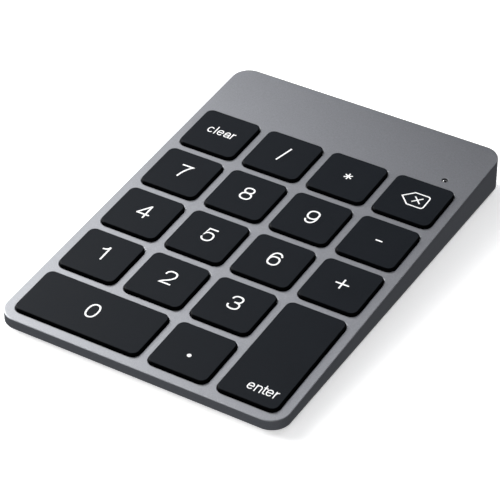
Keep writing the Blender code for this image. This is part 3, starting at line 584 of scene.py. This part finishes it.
def stamped_steel():
    """Rolled sheet, with the rolling grain along Y."""
    graph = Graph("stamped_steel")
    grain = graph.noise(0.25 * MM, 4, stretch=(1, 0.04, 1))
    graph.set("Base Color", graph.mix(grain, (0.42, 0.42, 0.43), (0.55, 0.55, 0.56)))
    graph.set("Metallic", 1.0)
    graph.set("Roughness", graph.remap(grain, 0.26, 0.42))
    graph.bump(grain, 4e-6)
    return graph.material


CARRIED_OVER = {
    "bottom_cover": COVER,
    "membrane": printed_film(),
    "key_backplate": stamped_steel(),
    "main_pcb": circuit_board(),
    "battery": foil(),
    "battery_lead": LEAD,
    "power_switch_body": SWITCH,
    "pairing_switch": SWITCH,
}


def carry_over():
    """CAD nodes whose shape is right keep it, and get a finish."""
    for node, material in CARRIED_OVER.items():
        item = frame["nodes"][node]
        item.data.materials.clear()
        item.data.materials.append(material)


# Case


def moved(bm, place):
    """A mesh shifted by a vector."""
    bm.transform(Matrix.Translation(place))
    return bm


def from_deck(bm):
    """A mesh carried from the deck frame to the part frame."""
    bm.transform(DECK)
    return bm


def raised_copy(bm, faces, distance):
    """Extrude faces along Z, and return the vertices that moved."""
    made = bmesh.ops.extrude_face_region(bm, geom=faces)
    bmesh.ops.delete(bm, geom=faces, context="FACES_ONLY")
    raised = [item for item in made["geom"] if isinstance(item, bmesh.types.BMVert)]
    bmesh.ops.translate(bm, vec=(0, 0, distance), verts=raised)
    return raised


def wedge(inset, low, drop, corner, segments):
    """The case's outline, inset, from height low up to a plane parallel to the deck."""
    width = CASE_HIGH.x - CASE_LOW.x - 2 * inset
    depth = CASE_HIGH.y - CASE_LOW.y - 2 * inset
    bm = block((width, depth, OVER_CASE), (0, 0, low), corner, segments)
    normal = -TRAVEL_AXIS
    point = Vector((0, 0, DECK_HEIGHT)) - normal * drop
    everything = bm.verts[:] + bm.edges[:] + bm.faces[:]
    cut = bmesh.ops.bisect_plane(
        bm, geom=everything, plane_co=point, plane_no=normal, clear_outer=True
    )
    edges = [item for item in cut["geom_cut"] if isinstance(item, bmesh.types.BMEdge)]
    bmesh.ops.contextual_create(bm, geom=edges)
    bmesh.ops.recalc_face_normals(bm, faces=bm.faces)
    return bm


def opening(width, depth, corner, below, edge, segments=10, steps=4):
    """A hole's volume, centred on the Z axis, that leaves a rounded edge on the face at Z = 0."""
    bm = block((width, depth, below - edge), (0, 0, -below), corner, segments)
    profile = []
    for step in range(1, steps + 1):
        angle = math.radians(90 * step / steps)
        profile.append((edge * (1 - math.cos(angle)), edge * (math.sin(angle) - 1)))
    profile.append((HOLE_FLARE * edge, HOLE_ABOVE))
    wide, level = 0.0, -edge
    for offset, height in profile:
        raised = raised_copy(bm, facing(bm, (0, 0, 1), 0.99), height - level)
        grown = [(side + 2 * offset) / (side + 2 * wide) for side in (width, depth)]
        bmesh.ops.scale(bm, vec=(*grown, 1), verts=raised)
        wide, level = offset, height
    return bm


def deck_holes():
    """The keys' windows and the hole for the light, in the deck frame."""
    holes = []
    for name in KEYS:
        width, depth = key_size(name, WINDOW)
        window = opening(width, depth, WINDOW_CORNER, WINDOW_DEPTH, WINDOW_EDGE)
        holes.append(moved(window, key_centre(name)))
    lamp = DECK.inverted() @ middle("led_light_pipe")
    below = 2 * DECK_THICKNESS
    hole = opening(LAMP_HOLE, LAMP_HOLE, LAMP_HOLE_CORNER, below, LAMP_HOLE_EDGE, 8)
    return holes + [moved(hole, (lamp.x, lamp.y, 0))]


def rear_holes():
    """The holes in the rear wall for the socket, the switch and the button."""
    holes = []
    for node, (width, height, corner, edge, segments) in REAR_HOLES.items():
        hole = opening(width * MM, height * MM, corner * MM, 3 * WALL, edge * MM, segments)
        spot = middle(node)
        if node == "power_switch_knob":
            spot.x += SWITCH_TRAVEL / 2
        hole.transform(Matrix.Translation((spot.x, CASE_HIGH.y, spot.z)) @ REARWARD)
        holes.append(hole)
    return holes


def build_case():
    shell = wedge(0, CASE_LOW.z, 0, CASE_CORNER, 16)
    bevel(shell, rim(shell, facing(shell, (0, 0, 1))), TOP_CHAMFER, 4)
    bevel(shell, rim(shell, facing(shell, (0, 0, -1))), BOTTOM_ROUND, 4)
    cavity = wedge(WALL, CASE_LOW.z - 1 * MM, DECK_THICKNESS, CASE_CORNER - WALL, 12)

    pillars = []
    bores = []
    for corner in CORNERS:
        spot = middle("cover_screw_" + corner)
        under = DECK_HEIGHT + math.tan(TILT) * spot.y - DECK_THICKNESS
        low = Vector((spot.x, spot.y, PILLAR_FOOT))
        pillars.append(cylinder(PILLAR_RADIUS, low, under + POST_ROOT - low.z))
        low.z = BORE_FOOT
        bores.append(cylinder(BORE_RADIUS, low, BORE_LENGTH, 20))
    stakes = [
        cylinder(STAKE_RADIUS, spot, STAKE_DROP + POST_ROOT, 20)
        for spot in stake_spots(-DECK_THICKNESS - STAKE_DROP)
    ]
    side, ahead, up = HOOK_NOTCH_SPOT
    notches = [
        block(HOOK_NOTCH, (sign * side, CASE_LOW.y + ahead, up)) for sign in (-1, 1)
    ]
    case = carve(
        shell,
        ("DIFFERENCE", cavity),
        ("DIFFERENCE", from_deck(group(deck_holes()))),
        ("UNION", group(pillars)),
        ("UNION", from_deck(group(stakes))),
        ("DIFFERENCE", group(bores + rear_holes() + notches)),
    )
    piece("case_shell", case, ALUMINIUM, "case", stands_for=("top_case",))


# Keys


def cap_bm(width, depth):
    """A keycap: a shallow shell, open underneath, with rounded edges."""
    bottom = -CAP_SKIRT
    bm = block((width, depth, CAP_RISE - bottom), (0, 0, bottom), CAP_CORNER, 10)
    bevel(bm, rim(bm, facing(bm, (0, 0, 1))), CAP_EDGE, 5)
    under = facing(bm, (0, 0, -1))
    bmesh.ops.inset_region(bm, faces=under, thickness=CAP_WALL, use_even_offset=True)
    raised_copy(bm, under, CAP_RISE - CAP_TOP - bottom)
    return bm


def build_caps():
    for name in KEYS:
        shape = moved(cap_bm(*key_size(name, CAP)), key_centre(name))
        piece(
            "cap_" + name, shape, KEY_PLASTIC, "key_" + name, DECK,
            ("keycap_" + name,),
        )  # fmt: skip


# Key mechanisms


def on_deck(joint):
    """A joint's place in the deck frame."""
    return DECK.inverted() @ Vector(JOINTS[joint]["pos_m"])


def rest_slope(pivot_z, reach, half_thickness):
    """The slope of a lever whose free end lies just under the cap."""
    return math.asin((UNDER_CAP - half_thickness - pivot_z) / reach)


def arm_bm():
    """A flat ring with rounded edges, hinged on the X axis."""
    ring_shape = block(ARM_SIZE, (0, -ARM_REACH / 2, -ARM_SIZE.z / 2), ARM_CORNER, 6)
    for side in (1, -1):
        bevel(ring_shape, rim(ring_shape, facing(ring_shape, (0, 0, side))), ARM_EDGE, 2)
    hole = (ARM_SIZE.x - 2 * ARM_BAR, ARM_SIZE.y - 2 * ARM_BAR, 1 * MM)
    inside = block(hole, (0, -ARM_REACH / 2, -0.5 * MM), ARM_HOLE_CORNER, 6)
    return carve(ring_shape, ("DIFFERENCE", inside))


def tube(path, radius, segments=16):
    """A wire along a path in the XY plane."""
    bm = bmesh.new()
    rings = []
    turns = [2 * math.pi * step / segments for step in range(segments)]
    for index, point in enumerate(path):
        back = point - path[max(0, index - 1)]
        ahead = path[min(len(path) - 1, index + 1)] - point
        along = (back.normalized() + ahead.normalized()).normalized()
        side = Vector((-along.y, along.x, 0))
        spots = [
            point + radius * (math.cos(turn) * side + math.sin(turn) * Vector((0, 0, 1)))
            for turn in turns
        ]
        rings.append([bm.verts.new(spot) for spot in spots])
    for first, second in zip(rings, rings[1:]):
        for index in range(segments):
            after = (index + 1) % segments
            bm.faces.new((first[index], first[after], second[after], second[index]))
    bm.faces.new(rings[0])
    bm.faces.new(rings[-1])
    return bm


def bar_path(bend=0.8 * MM, steps=8):
    """A U with turned-out feet, its feet on the X axis."""
    end, leg = BAR_HALF_LENGTH, BAR_LEG
    bends = (
        (-end - bend, -bend, 90, 0),
        (-end + bend, -leg + bend, 180, 270),
        (end - bend, -leg + bend, 270, 360),
        (end + bend, -bend, 180, 90),
    )
    path = [Vector((-end - BAR_FOOT, 0, 0))]
    for x, y, start, stop in bends:
        for step in range(steps + 1):
            angle = math.radians(start + (stop - start) * step / steps)
            path.append(Vector((x + bend * math.cos(angle), y + bend * math.sin(angle), 0)))
    return path + [Vector((end + BAR_FOOT, 0, 0))]


def build_levers():
    arm = None
    slope = Matrix.Rotation(-rest_slope(ARM_PIVOT.z, ARM_REACH, ARM_SIZE.z / 2), 4, "X")
    for name in KEYS:
        place = DECK @ Matrix.Translation(on_deck("tilt_" + name)) @ slope
        item = piece(
            "arm_" + name, arm or arm_bm(), NYLON, "arm_" + name, place,
            ("scissor_arm_" + name,),
        )  # fmt: skip
        arm = item.data
    for name, turn in (("0", 0), ("enter", 90)):
        pivot = on_deck("swing_bar_" + name)
        slope = Matrix.Rotation(-rest_slope(pivot.z, BAR_LEG, BAR_RADIUS), 4, "X")
        place = Matrix.Translation(pivot) @ Matrix.Rotation(math.radians(turn), 4, "Z") @ slope
        piece(
            "wire_bar_" + name, tube(bar_path(), BAR_RADIUS), STEEL, "bar_" + name,
            DECK @ place, ("stabiliser_bar_" + name,),
        )  # fmt: skip


def dome_bm():
    """A thin silicone dome with a base ring and a raised button, hollow underneath."""
    base = SHEET_TOP - SHEET_THICKNESS
    section = [(0, UNDER_CAP)]
    section += [(radius * MM, UNDER_CAP + height * MM) for radius, height in DOME_OUTSIDE]
    section += [(DOME_FOOT_OUTSIDE, SHEET_TOP), (DOME_BASE, SHEET_TOP)]
    section += [(DOME_BASE, base), (DOME_FOOT_INSIDE, base)]
    section += [(radius * MM, UNDER_CAP + height * MM) for radius, height in DOME_INSIDE]
    return lathe(section + [(0, UNDER_CAP - DOME_TOP)], 28)


def sheet_holes(deep):
    """What is cut out of the dome sheet: posts, arm hooks, bar feet, and the domes themselves."""
    holes = [cylinder(STAKE_HOLE, spot, deep, 16) for spot in stake_spots(-deep)]
    for corner in CORNERS[:2]:
        spot = DECK.inverted() @ middle("cover_screw_" + corner)
        holes.append(cylinder(PILLAR_HOLE, Vector((spot.x, spot.y, -deep)), deep, 24))
    slots = []
    for name in KEYS:
        for side in (-1, 1):
            slots.append((key_centre(name), (side * HOOK_SPOT.x, HOOK_SPOT.y), HOOK_SLOT))
    along = BAR_HALF_LENGTH + BAR_FOOT / 2
    for side in (-1, 1):
        slots.append((on_deck("swing_bar_0"), (side * along, BAR_HOOK_OFFSET), BAR_SLOT))
        slots.append((on_deck("swing_bar_enter"), (-BAR_HOOK_OFFSET, side * along), BAR_SLOT))
    for centre, offset, size in slots:
        spot = (centre.x + offset[0], centre.y + offset[1], -deep)
        holes.append(block((*size, deep), spot))
    for name in KEYS:
        centre = key_centre(name)
        spot = Vector((centre.x, centre.y, -deep))
        holes.append(cylinder(DOME_BASE + DOME_GAP, spot, deep, 28))
    return holes


def build_domes():
    low = SHEET_TOP - SHEET_THICKNESS
    sheet = block((*SHEET_SIZE, SHEET_THICKNESS), (0, SHEET_MIDDLE_Y, low), SHEET_CORNER, 8)
    shape = carve(sheet, ("DIFFERENCE", group(sheet_holes(2 * MM))))
    piece("silicone_sheet", shape, SILICONE, "case", DECK, ("dome_sheet",))
    for name in KEYS:
        dome = moved(dome_bm(), key_centre(name))
        item = piece("dome_" + name, dome, SILICONE, "case", DECK)
        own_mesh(item)


# Fasteners, feet and rear controls


def upright_on(node):
    """A frame at the middle of a CAD node's underside."""
    spot = middle(node)
    spot.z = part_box(node)[0].z
    return Matrix.Translation(spot)


def build_screws_and_feet():
    for corner in CORNERS:
        node = "cover_screw_" + corner
        cross = [
            block((long * MM, wide * MM, SCREW_CROSS_HEIGHT), (0, 0, -SCREW_CROSS_BELOW))
            for long, wide in (SCREW_CROSS, SCREW_CROSS[::-1])
        ]
        screw = carve(turned(SCREW_PROFILE, 36), *(("DIFFERENCE", slot) for slot in cross))
        piece("screw_" + corner, screw, STEEL, "case", upright_on(node), (node,))

        node = "rubber_foot_" + corner
        foot = turned(FOOT_PROFILE, 64)
        piece("foot_" + corner, foot, RUBBER, "case", upright_on(node), (node,))


def build_charging_port():
    """A flat oval shell, open to the rear, with a tongue that carries gold contacts."""
    low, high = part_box("usb_c_port")
    width, height, length = high.x - low.x, high.z - low.z, high.y - low.y
    inner = (width - 2 * PORT_SKIN, height - 2 * PORT_SKIN, length)
    shell = block((width, height, length), (0, 0, 0), height / 2 - 0.05 * MM, 12)
    bore = block(inner, (0, 0, PORT_FLOOR), height / 2 - 0.35 * MM, 12)
    tongue = block(PORT_TONGUE, (0, 0, PORT_FLOOR / 2), 0.1 * MM, 2)
    shape = carve(shell, ("DIFFERENCE", bore), ("UNION", tongue))
    bevel(shape, rim(shape, facing(shape, (0, 0, 1), 0.99)), PORT_EDGE, 2)
    spot = middle("usb_c_port")
    place = Matrix.Translation((spot.x, low.y, spot.z)) @ REARWARD
    piece("port_shell", shape, STEEL, "case", place, ("usb_c_port",))
    strips = []
    for side in (-1, 1):
        for index in range(CONTACTS):
            x = (index - (CONTACTS - 1) / 2) * CONTACT_PITCH
            y = side * (PORT_TONGUE.y - CONTACT_SINK) / 2
            strips.append(block(CONTACT_SIZE, (x, y, CONTACT_START)))
    piece("port_contacts", group(strips), GOLD, "case", place)


def build_rear_controls():
    low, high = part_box("power_switch_knob")
    size = high - low
    knob = block(size, (0, 0, -size.z / 2))
    bevel(knob, rim(knob, facing(knob, (0, 1, 0))), KNOB_EDGE, 4)
    grooves = [
        block(KNOB_GROOVE, (step * KNOB_GROOVE_PITCH, size.y / 2, -KNOB_GROOVE.z / 2))
        for step in (-1, 0, 1)
    ]
    shape = carve(knob, ("DIFFERENCE", group(grooves)))
    piece(
        "switch_knob", shape, SWITCH, "power_knob",
        Matrix.Translation(middle("power_switch_knob")), ("power_switch_knob",),
    )  # fmt: skip

    spot = middle("pairing_button")
    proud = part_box("pairing_button")[1].y - CASE_HIGH.y
    inner = -WALL - BUTTON_GAP
    outline = [(radius * MM, proud - drop * MM) for radius, drop in BUTTON_FACE]
    end = inner - BUTTON_FLANGE_THICKNESS
    outline += [(outline[-1][0], inner), (BUTTON_FLANGE, inner), (BUTTON_FLANGE, end), (0, end)]
    piece(
        "button", lathe(outline, 48), SWITCH, "pair_button",
        Matrix.Translation((spot.x, CASE_HIGH.y, spot.z)) @ REARWARD, ("pairing_button",),
    )  # fmt: skip


def build_light_pipe():
    """A rod with a domed lens level with the deck's face and a collar under the deck."""
    lamp = DECK.inverted() @ middle("led_light_pipe")
    rod = moved(turned(LIGHT_PIPE_PROFILE, 40), (lamp.x, lamp.y, 0))
    piece("light_pipe", rod, PIPE_PAINTED_SHADE, "case", DECK, ("led_light_pipe",))


# Legends: each is a few strokes, as points in mm from the key's centre


def line(*points):
    """A path of straight runs."""
    return [Vector(p) for p in points]


def arc(x, y, wide, tall, start, end, steps=28, square=2.25):
    """Part of a slightly squared ellipse, from one angle to another in degrees."""
    points = []
    for step in range(steps + 1):
        angle = math.radians(start + (end - start) * step / steps)
        c, s = math.cos(angle), math.sin(angle)
        px = math.copysign(abs(c) ** (2 / square), c)
        py = math.copysign(abs(s) ** (2 / square), s)
        points.append(Vector((x + wide * px, y + tall * py)))
    return points


def curve(start, control, end, steps=10):
    """A bend from start to end that leaves and arrives along lines through control."""
    a, b, c = Vector(start), Vector(control), Vector(end)
    shares = [step / steps for step in range(steps + 1)]
    return [a * (1 - t) ** 2 + b * 2 * t * (1 - t) + c * t * t for t in shares]


def joined(*runs):
    """One path through several runs of points, without repeats."""
    path = []
    for point in (p for run in runs for p in run):
        if not path or (point - path[-1]).length > 0.02:
            path.append(point)
    return path


def spoke(x, y, reach, angle):
    """A straight stroke through a point, at an angle in degrees from the Y axis."""
    turn = math.radians(angle)
    step = reach * Vector((math.sin(turn), math.cos(turn)))
    return [Vector((x, y)) + step, Vector((x, y)) - step]


def ring(x, y, wide, tall):
    """A whole slightly squared ellipse."""
    return arc(x, y, wide, tall, 0, 360, 56)[:-1] + ["closed"]


def stroke_bm(path, width, low, high):
    """A flat ribbon along a path, as a closed solid."""
    closed = path[-1] == "closed"
    points = path[:-1] if closed else path
    count = len(points)
    bm = bmesh.new()
    sides = ([], [])
    for index, point in enumerate(points):
        before = points[index - 1] if closed or index else None
        after = points[(index + 1) % count] if closed or index + 1 < count else None
        back = (point - before).normalized() if before is not None else None
        ahead = (after - point).normalized() if after is not None else None
        first = back if back is not None else ahead
        second = ahead if ahead is not None else back
        along = (first + second).normalized()
        across = Vector((-along.y, along.x))
        reach = width / 2 / max(0.35, along.dot(first))
        for side, sign in zip(sides, (1, -1)):
            spot = point + across * (sign * reach)
            side.append(bm.verts.new((spot.x * MM, spot.y * MM, low)))
    left, right = sides
    last = count if closed else count - 1
    for index in range(last):
        following = (index + 1) % count
        bm.faces.new((left[index], right[index], right[following], left[following]))
    made = bmesh.ops.extrude_face_region(bm, geom=bm.faces[:])
    raised = [item for item in made["geom"] if isinstance(item, bmesh.types.BMVert)]
    bmesh.ops.translate(bm, vec=(0, 0, high - low), verts=raised)
    bmesh.ops.recalc_face_normals(bm, faces=bm.faces)
    return bm


SIX = [ring(0.13, -0.12, 1.45, 1.52), arc(0.13, 0.66, 1.48, 2.28, 28, 205)]
FIGURES = {
    "0": [ring(0.125, 0.29, 1.445, 2.28)],
    "1": [line((0.57, -1.75), (0.57, 3.3)), curve((-1.13, 2.14), (0.35, 2.1), (0.50, 3.25))],
    "2": [
        joined(
            arc(0.17, 1.72, 1.46, 1.32, 183, -25),
            curve((1.42, 1.10), (1.0, 0.2), (-0.1, -0.45)),
            curve((-0.1, -0.45), (-1.1, -1.05), (-1.28, -1.44)),
            line((-1.28, -1.44), (1.85, -1.44)),
        )
    ],
    "3": [
        joined(arc(0.03, 1.95, 1.33, 1.09, 185, -90), line((0.03, 0.86), (-0.35, 0.86))),
        arc(0.05, -0.32, 1.49, 1.17, 90, -186),
    ],
    "4": [
        line((0.95, -1.85), (0.95, 3.15)), line((-1.67, -0.42), (2.03, -0.42)),
        line((-1.52, -0.42), (0.95, 3.05)),
    ],
    "5": [
        joined(
            line((1.6, 2.86), (-0.85, 2.86), (-1.22, 0.42)),
            arc(0.13, -0.10, 1.46, 1.54, 152, -168),
        )
    ],
    "6": SIX,
    "7": [
        joined(
            line((-1.58, 2.74), (1.56, 2.74)), curve((1.56, 2.74), (-0.15, 0.9), (-0.45, -1.95)),
        )
    ],
    "8": [ring(0.15, -0.46, 1.47, 1.23), ring(0.15, 1.77, 1.25, 1.02)],
    "9": [[p if p == "closed" else Vector((0.22, 1.08)) - p for p in path] for path in SIX],
    "divide": [line((-0.65, -2.5), (0.8, 3.2))],
    "minus": [line((-0.9, 0.42), (1.0, 0.42))],
    "plus": [line((-1.8, 0.5), (1.9, 0.5)), line((0.05, -1.3), (0.05, 2.3))],
    "multiply": [spoke(0.1, 0.35, 1.2, angle) for angle in (0, 60, 120)],
    "backspace": [
        joined(
            line((-0.8, 2.85)), arc(2.8, 2.05, 0.8, 0.8, 90, 0, 8, 2),
            arc(2.8, -1.4, 0.8, 0.8, 0, -90, 8, 2), line((-0.8, -2.2), (-3.30, 0.33)),
        ) + ["closed"],
        line((-0.15, 1.5), (2.1, -0.75)), line((2.1, 1.5), (-0.15, -0.75)),
    ],
}
STROKES = {"divide": 0.44, "minus": 0.42, "plus": 0.44, "multiply": 0.35, "backspace": 0.36}
FIGURE_STROKE = 0.46

# Small letters, from each one's left edge and the baseline, with an x-height of 2.37 mm
LETTER_STROKE = 0.30
LETTERS = {
    "a": [
        joined(
            arc(0.92, 0.82, 0.68, 1.32, 168, 90), arc(0.92, 1.49, 0.62, 0.65, 90, 0),
            line((1.54, 1.49), (1.54, 0.42)), curve((1.54, 0.42), (1.54, 0.18), (1.90, 0.22)),
        ),
        joined(
            line((1.54, 1.36)), curve((1.54, 1.36), (1.40, 1.22), (0.86, 1.16)),
            curve((0.86, 1.16), (0.24, 1.06), (0.24, 0.66)),
            curve((0.24, 0.66), (0.24, 0.22), (0.76, 0.22)),
            curve((0.76, 0.22), (1.54, 0.26), (1.54, 0.95)),
        ),
    ],
    "c": [arc(0.95, 1.185, 0.72, 0.95, 38, 322)],
    "e": [joined(line((0.24, 1.22), (1.66, 1.22)), arc(0.95, 1.185, 0.71, 0.95, 5, 322))],
    "l": [line((0.23, 0), (0.23, 3.2))],
    "n": [
        line((0.23, 0), (0.23, 2.33)),
        joined(
            line((0.23, 1.15)), arc(0.91, 1.40, 0.68, 0.73, 180, 0), line((1.59, 1.40), (1.59, 0)),
        ),
    ],
    "r": [line((0.23, 0), (0.23, 2.33)), curve((0.23, 1.05), (0.28, 2.14), (1.02, 2.12))],
    "t": [
        joined(line((0.40, 3.02), (0.40, 0.55)), curve((0.40, 0.55), (0.42, 0.16), (1.06, 0.23))),
        line((0, 2.12), (1.05, 2.12)),
    ],
}
WORDS = {
    "clear": (-0.95, (("c", -3.95), ("l", -1.78), ("e", -1.02), ("a", 1.10), ("r", 3.17))),
    "enter": (-13.95, (("e", -2.0), ("n", 0.14), ("t", 2.10), ("e", 3.06), ("r", 5.21))),
}
DOT_SPOT = Vector((0.1, -1.73)) * MM
DOT_RADIUS = 0.56 * MM
INK_RISE = 0.02 * MM
INK_ROOT = 0.10 * MM


def legend(name, paths, width, key):
    """One figure or letter, standing just proud of its keycap."""
    low, high = CAP_RISE - INK_ROOT, CAP_RISE + INK_RISE
    shapes = [stroke_bm(path, width, low, high) for path in paths]
    shape = carve(shapes[0], *(("UNION", other) for other in shapes[1:]))
    piece(name, moved(shape, key_centre(key)), INK, "key_" + key, DECK)


def build_legends():
    for key, paths in FIGURES.items():
        legend("legend_" + key, paths, STROKES.get(key, FIGURE_STROKE), key)
    spot = Vector((DOT_SPOT.x, DOT_SPOT.y, CAP_RISE - INK_ROOT))
    dot = cylinder(DOT_RADIUS, spot, INK_ROOT + INK_RISE)
    piece("legend_dot", moved(dot, key_centre("dot")), INK, "key_dot", DECK)
    for key, (baseline, letters) in WORDS.items():
        for index, (letter, left) in enumerate(letters):
            offset = Vector((left, baseline))
            paths = [[p + offset for p in path] for path in LETTERS[letter]]
            legend(f"legend_{key}_{index}_{letter}", paths, LETTER_STROKE, key)


# Stage, light and camera

FLOOR_HALF = 3.0
# Light added to the floor as the camera sees it, so that shadows stay pale: how much of it near
# the object, and the distances over which it rises to 1 so that the far floor is white
FLOOR_LIFT = 0.5
LIFT_FROM = 0.2
LIFT_TO = 0.7
# Strength of the surroundings: under the horizon to the front and to the rear, over it, and as
# the camera sees them. The two others are how softly they change.
FRONT_BELOW = 0.24
REAR_BELOW = 0.15
WORLD_ABOVE = 0.01
BACKDROP = 1.06
SIDE_BLEND = 0.7
HORIZON_BLEND = 0.15
SKY = (0.95, 0.98, 1.06)


def build_floor():
    bm = bmesh.new()
    bmesh.ops.create_grid(bm, x_segments=1, y_segments=1, size=FLOOR_HALF)
    mesh = bpy.data.meshes.new("floor")
    bm.to_mesh(mesh)
    bm.free()
    floor = bpy.data.objects.new("floor", mesh)
    bpy.context.scene.collection.objects.link(floor)
    graph = Graph("floor_paint")
    tone = graph.noise(0.4, 2)
    graph.set("Base Color", graph.mix(tone, (0.90, 0.90, 0.90), (0.93, 0.93, 0.93)))
    graph.set("Roughness", 0.9)
    seen = graph.nodes.new("ShaderNodeLightPath").outputs["Is Camera Ray"]
    distance = graph.nodes.new("ShaderNodeVectorMath")
    distance.operation = "LENGTH"
    graph.links.new(graph.space, distance.inputs[0])
    lift = graph.remap(distance.outputs["Value"], FLOOR_LIFT, 1.0, LIFT_FROM, LIFT_TO)
    graph.set("Emission Color", (1.0, 1.0, 1.0))
    graph.set("Emission Strength", graph.mix(seen, 0.0, lift, "FLOAT"))
    mesh.materials.append(graph.material)
    floor.visible_glossy = False


def build_world():
    """White to the camera. As a light, dim above the horizon and a little brighter below it."""
    world = bpy.data.worlds.new("studio")
    bpy.context.scene.world = world
    world.use_nodes = True
    nodes, links = world.node_tree.nodes, world.node_tree.links
    backdrop = nodes["Background"]
    backdrop.inputs["Color"].default_value = (*SKY, 1)
    split = nodes.new("ShaderNodeSeparateXYZ")
    links.new(nodes.new("ShaderNodeTexCoord").outputs["Generated"], split.inputs[0])

    def blended(axis, reach, ends):
        """A value that changes smoothly as the view direction passes level."""
        node = nodes.new("ShaderNodeMapRange")
        for name, number in {"From Min": -reach, "From Max": reach, **ends}.items():
            node.inputs[name].default_value = number
        links.new(split.outputs[axis], node.inputs["Value"])
        return node

    low = blended("Y", SIDE_BLEND, {"To Min": FRONT_BELOW, "To Max": REAR_BELOW})
    height = blended("Z", HORIZON_BLEND, {"To Max": WORLD_ABOVE})
    links.new(low.outputs[0], height.inputs["To Min"])
    strength = nodes.new("ShaderNodeMix")
    links.new(nodes.new("ShaderNodeLightPath").outputs["Is Camera Ray"], strength.inputs[0])
    links.new(height.outputs[0], strength.inputs[2])
    strength.inputs[3].default_value = BACKDROP
    links.new(strength.outputs[0], backdrop.inputs["Strength"])


LIGHT_DISTANCE = 0.8
# Softboxes: azimuth from +Y towards +X, elevation, width, height, and strength
SOFTBOXES = {
    "left_low": (-100, 18, 0.30, 0.30, 6.68),
    "left": (-75, 30, 0.30, 0.30, 6.07),
    "left_mid": (-90, 42, 0.30, 0.30, 1.55),
    "rear_left": (-55, 42, 0.30, 0.30, 0.81),
    "rear_left_edge": (-38, 45, 0.25, 0.30, 0.27),
    "rear_high": (0, 65, 0.40, 0.40, 0.72),
    "rear": (14, 33, 0.35, 0.20, 0.62),
    "front": (180, 30, 0.50, 0.30, 1.00),
    "front_right_low": (135, 17, 0.50, 0.12, 0.80),
    "rear_right": (45, 24, 0.25, 0.20, 0.40),
    "front_left": (-146, 43, 0.25, 0.20, 0.40),
}
# Those whose light is a little bluer than white
COOL_LIGHTS = {"rear_left_edge": (0.985, 0.99, 1.05), "rear_high": (0.98, 0.985, 1.05)}


def build_lights():
    """Softboxes in a ring around the part, aimed at its middle."""
    for name, (azimuth, elevation, width, height, strength) in SOFTBOXES.items():
        a, e = math.radians(azimuth), math.radians(elevation)
        out = Vector((math.sin(a) * math.cos(e), math.cos(a) * math.cos(e), math.sin(e)))
        lamp = bpy.data.lights.new(name, "AREA")
        lamp.shape = "RECTANGLE"
        lamp.size = width
        lamp.size_y = height
        lamp.energy = strength
        lamp.color = COOL_LIGHTS.get(name, (1.0, 1.0, 1.0))
        item = bpy.data.objects.new(name, lamp)
        bpy.context.scene.collection.objects.link(item)
        item.location = out * LIGHT_DISTANCE
        item.rotation_mode = "QUATERNION"
        item.rotation_quaternion = out.to_track_quat("Z", "Y")


# Camera: its place, aim and upward direction, and its sensor and focal length in mm
CAMERA_PLACE = Vector((236.38, -397.68, 359.14)) * MM
CAMERA_AIM = Vector((-0.40721, 0.67737, -0.61266))
CAMERA_UP = Vector((-0.3146, 0.52569, 0.79039))
SENSOR_WIDTH = 36.0
FOCAL_LENGTH = 167.62


def build_camera():
    data = bpy.data.cameras.new("camera")
    data.sensor_width = SENSOR_WIDTH
    data.lens = FOCAL_LENGTH
    data.clip_start = 0.01
    data.clip_end = 20.0
    camera = bpy.data.objects.new("camera", data)
    bpy.context.scene.collection.objects.link(camera)
    ahead = CAMERA_AIM.normalized()
    right = ahead.cross(CAMERA_UP).normalized()
    up = right.cross(ahead)
    turn = Matrix((right, up, -ahead)).transposed()
    camera.matrix_world = Matrix.Translation(CAMERA_PLACE) @ turn.to_4x4()
    bpy.context.scene.camera = camera
    bpy.context.scene.view_settings.view_transform = "Standard"


build_case()
build_caps()
build_legends()
build_levers()
build_domes()
build_screws_and_feet()
build_charging_port()
build_rear_controls()
build_light_pipe()
carry_over()
build_floor()
build_world()
build_lights()
build_camera()
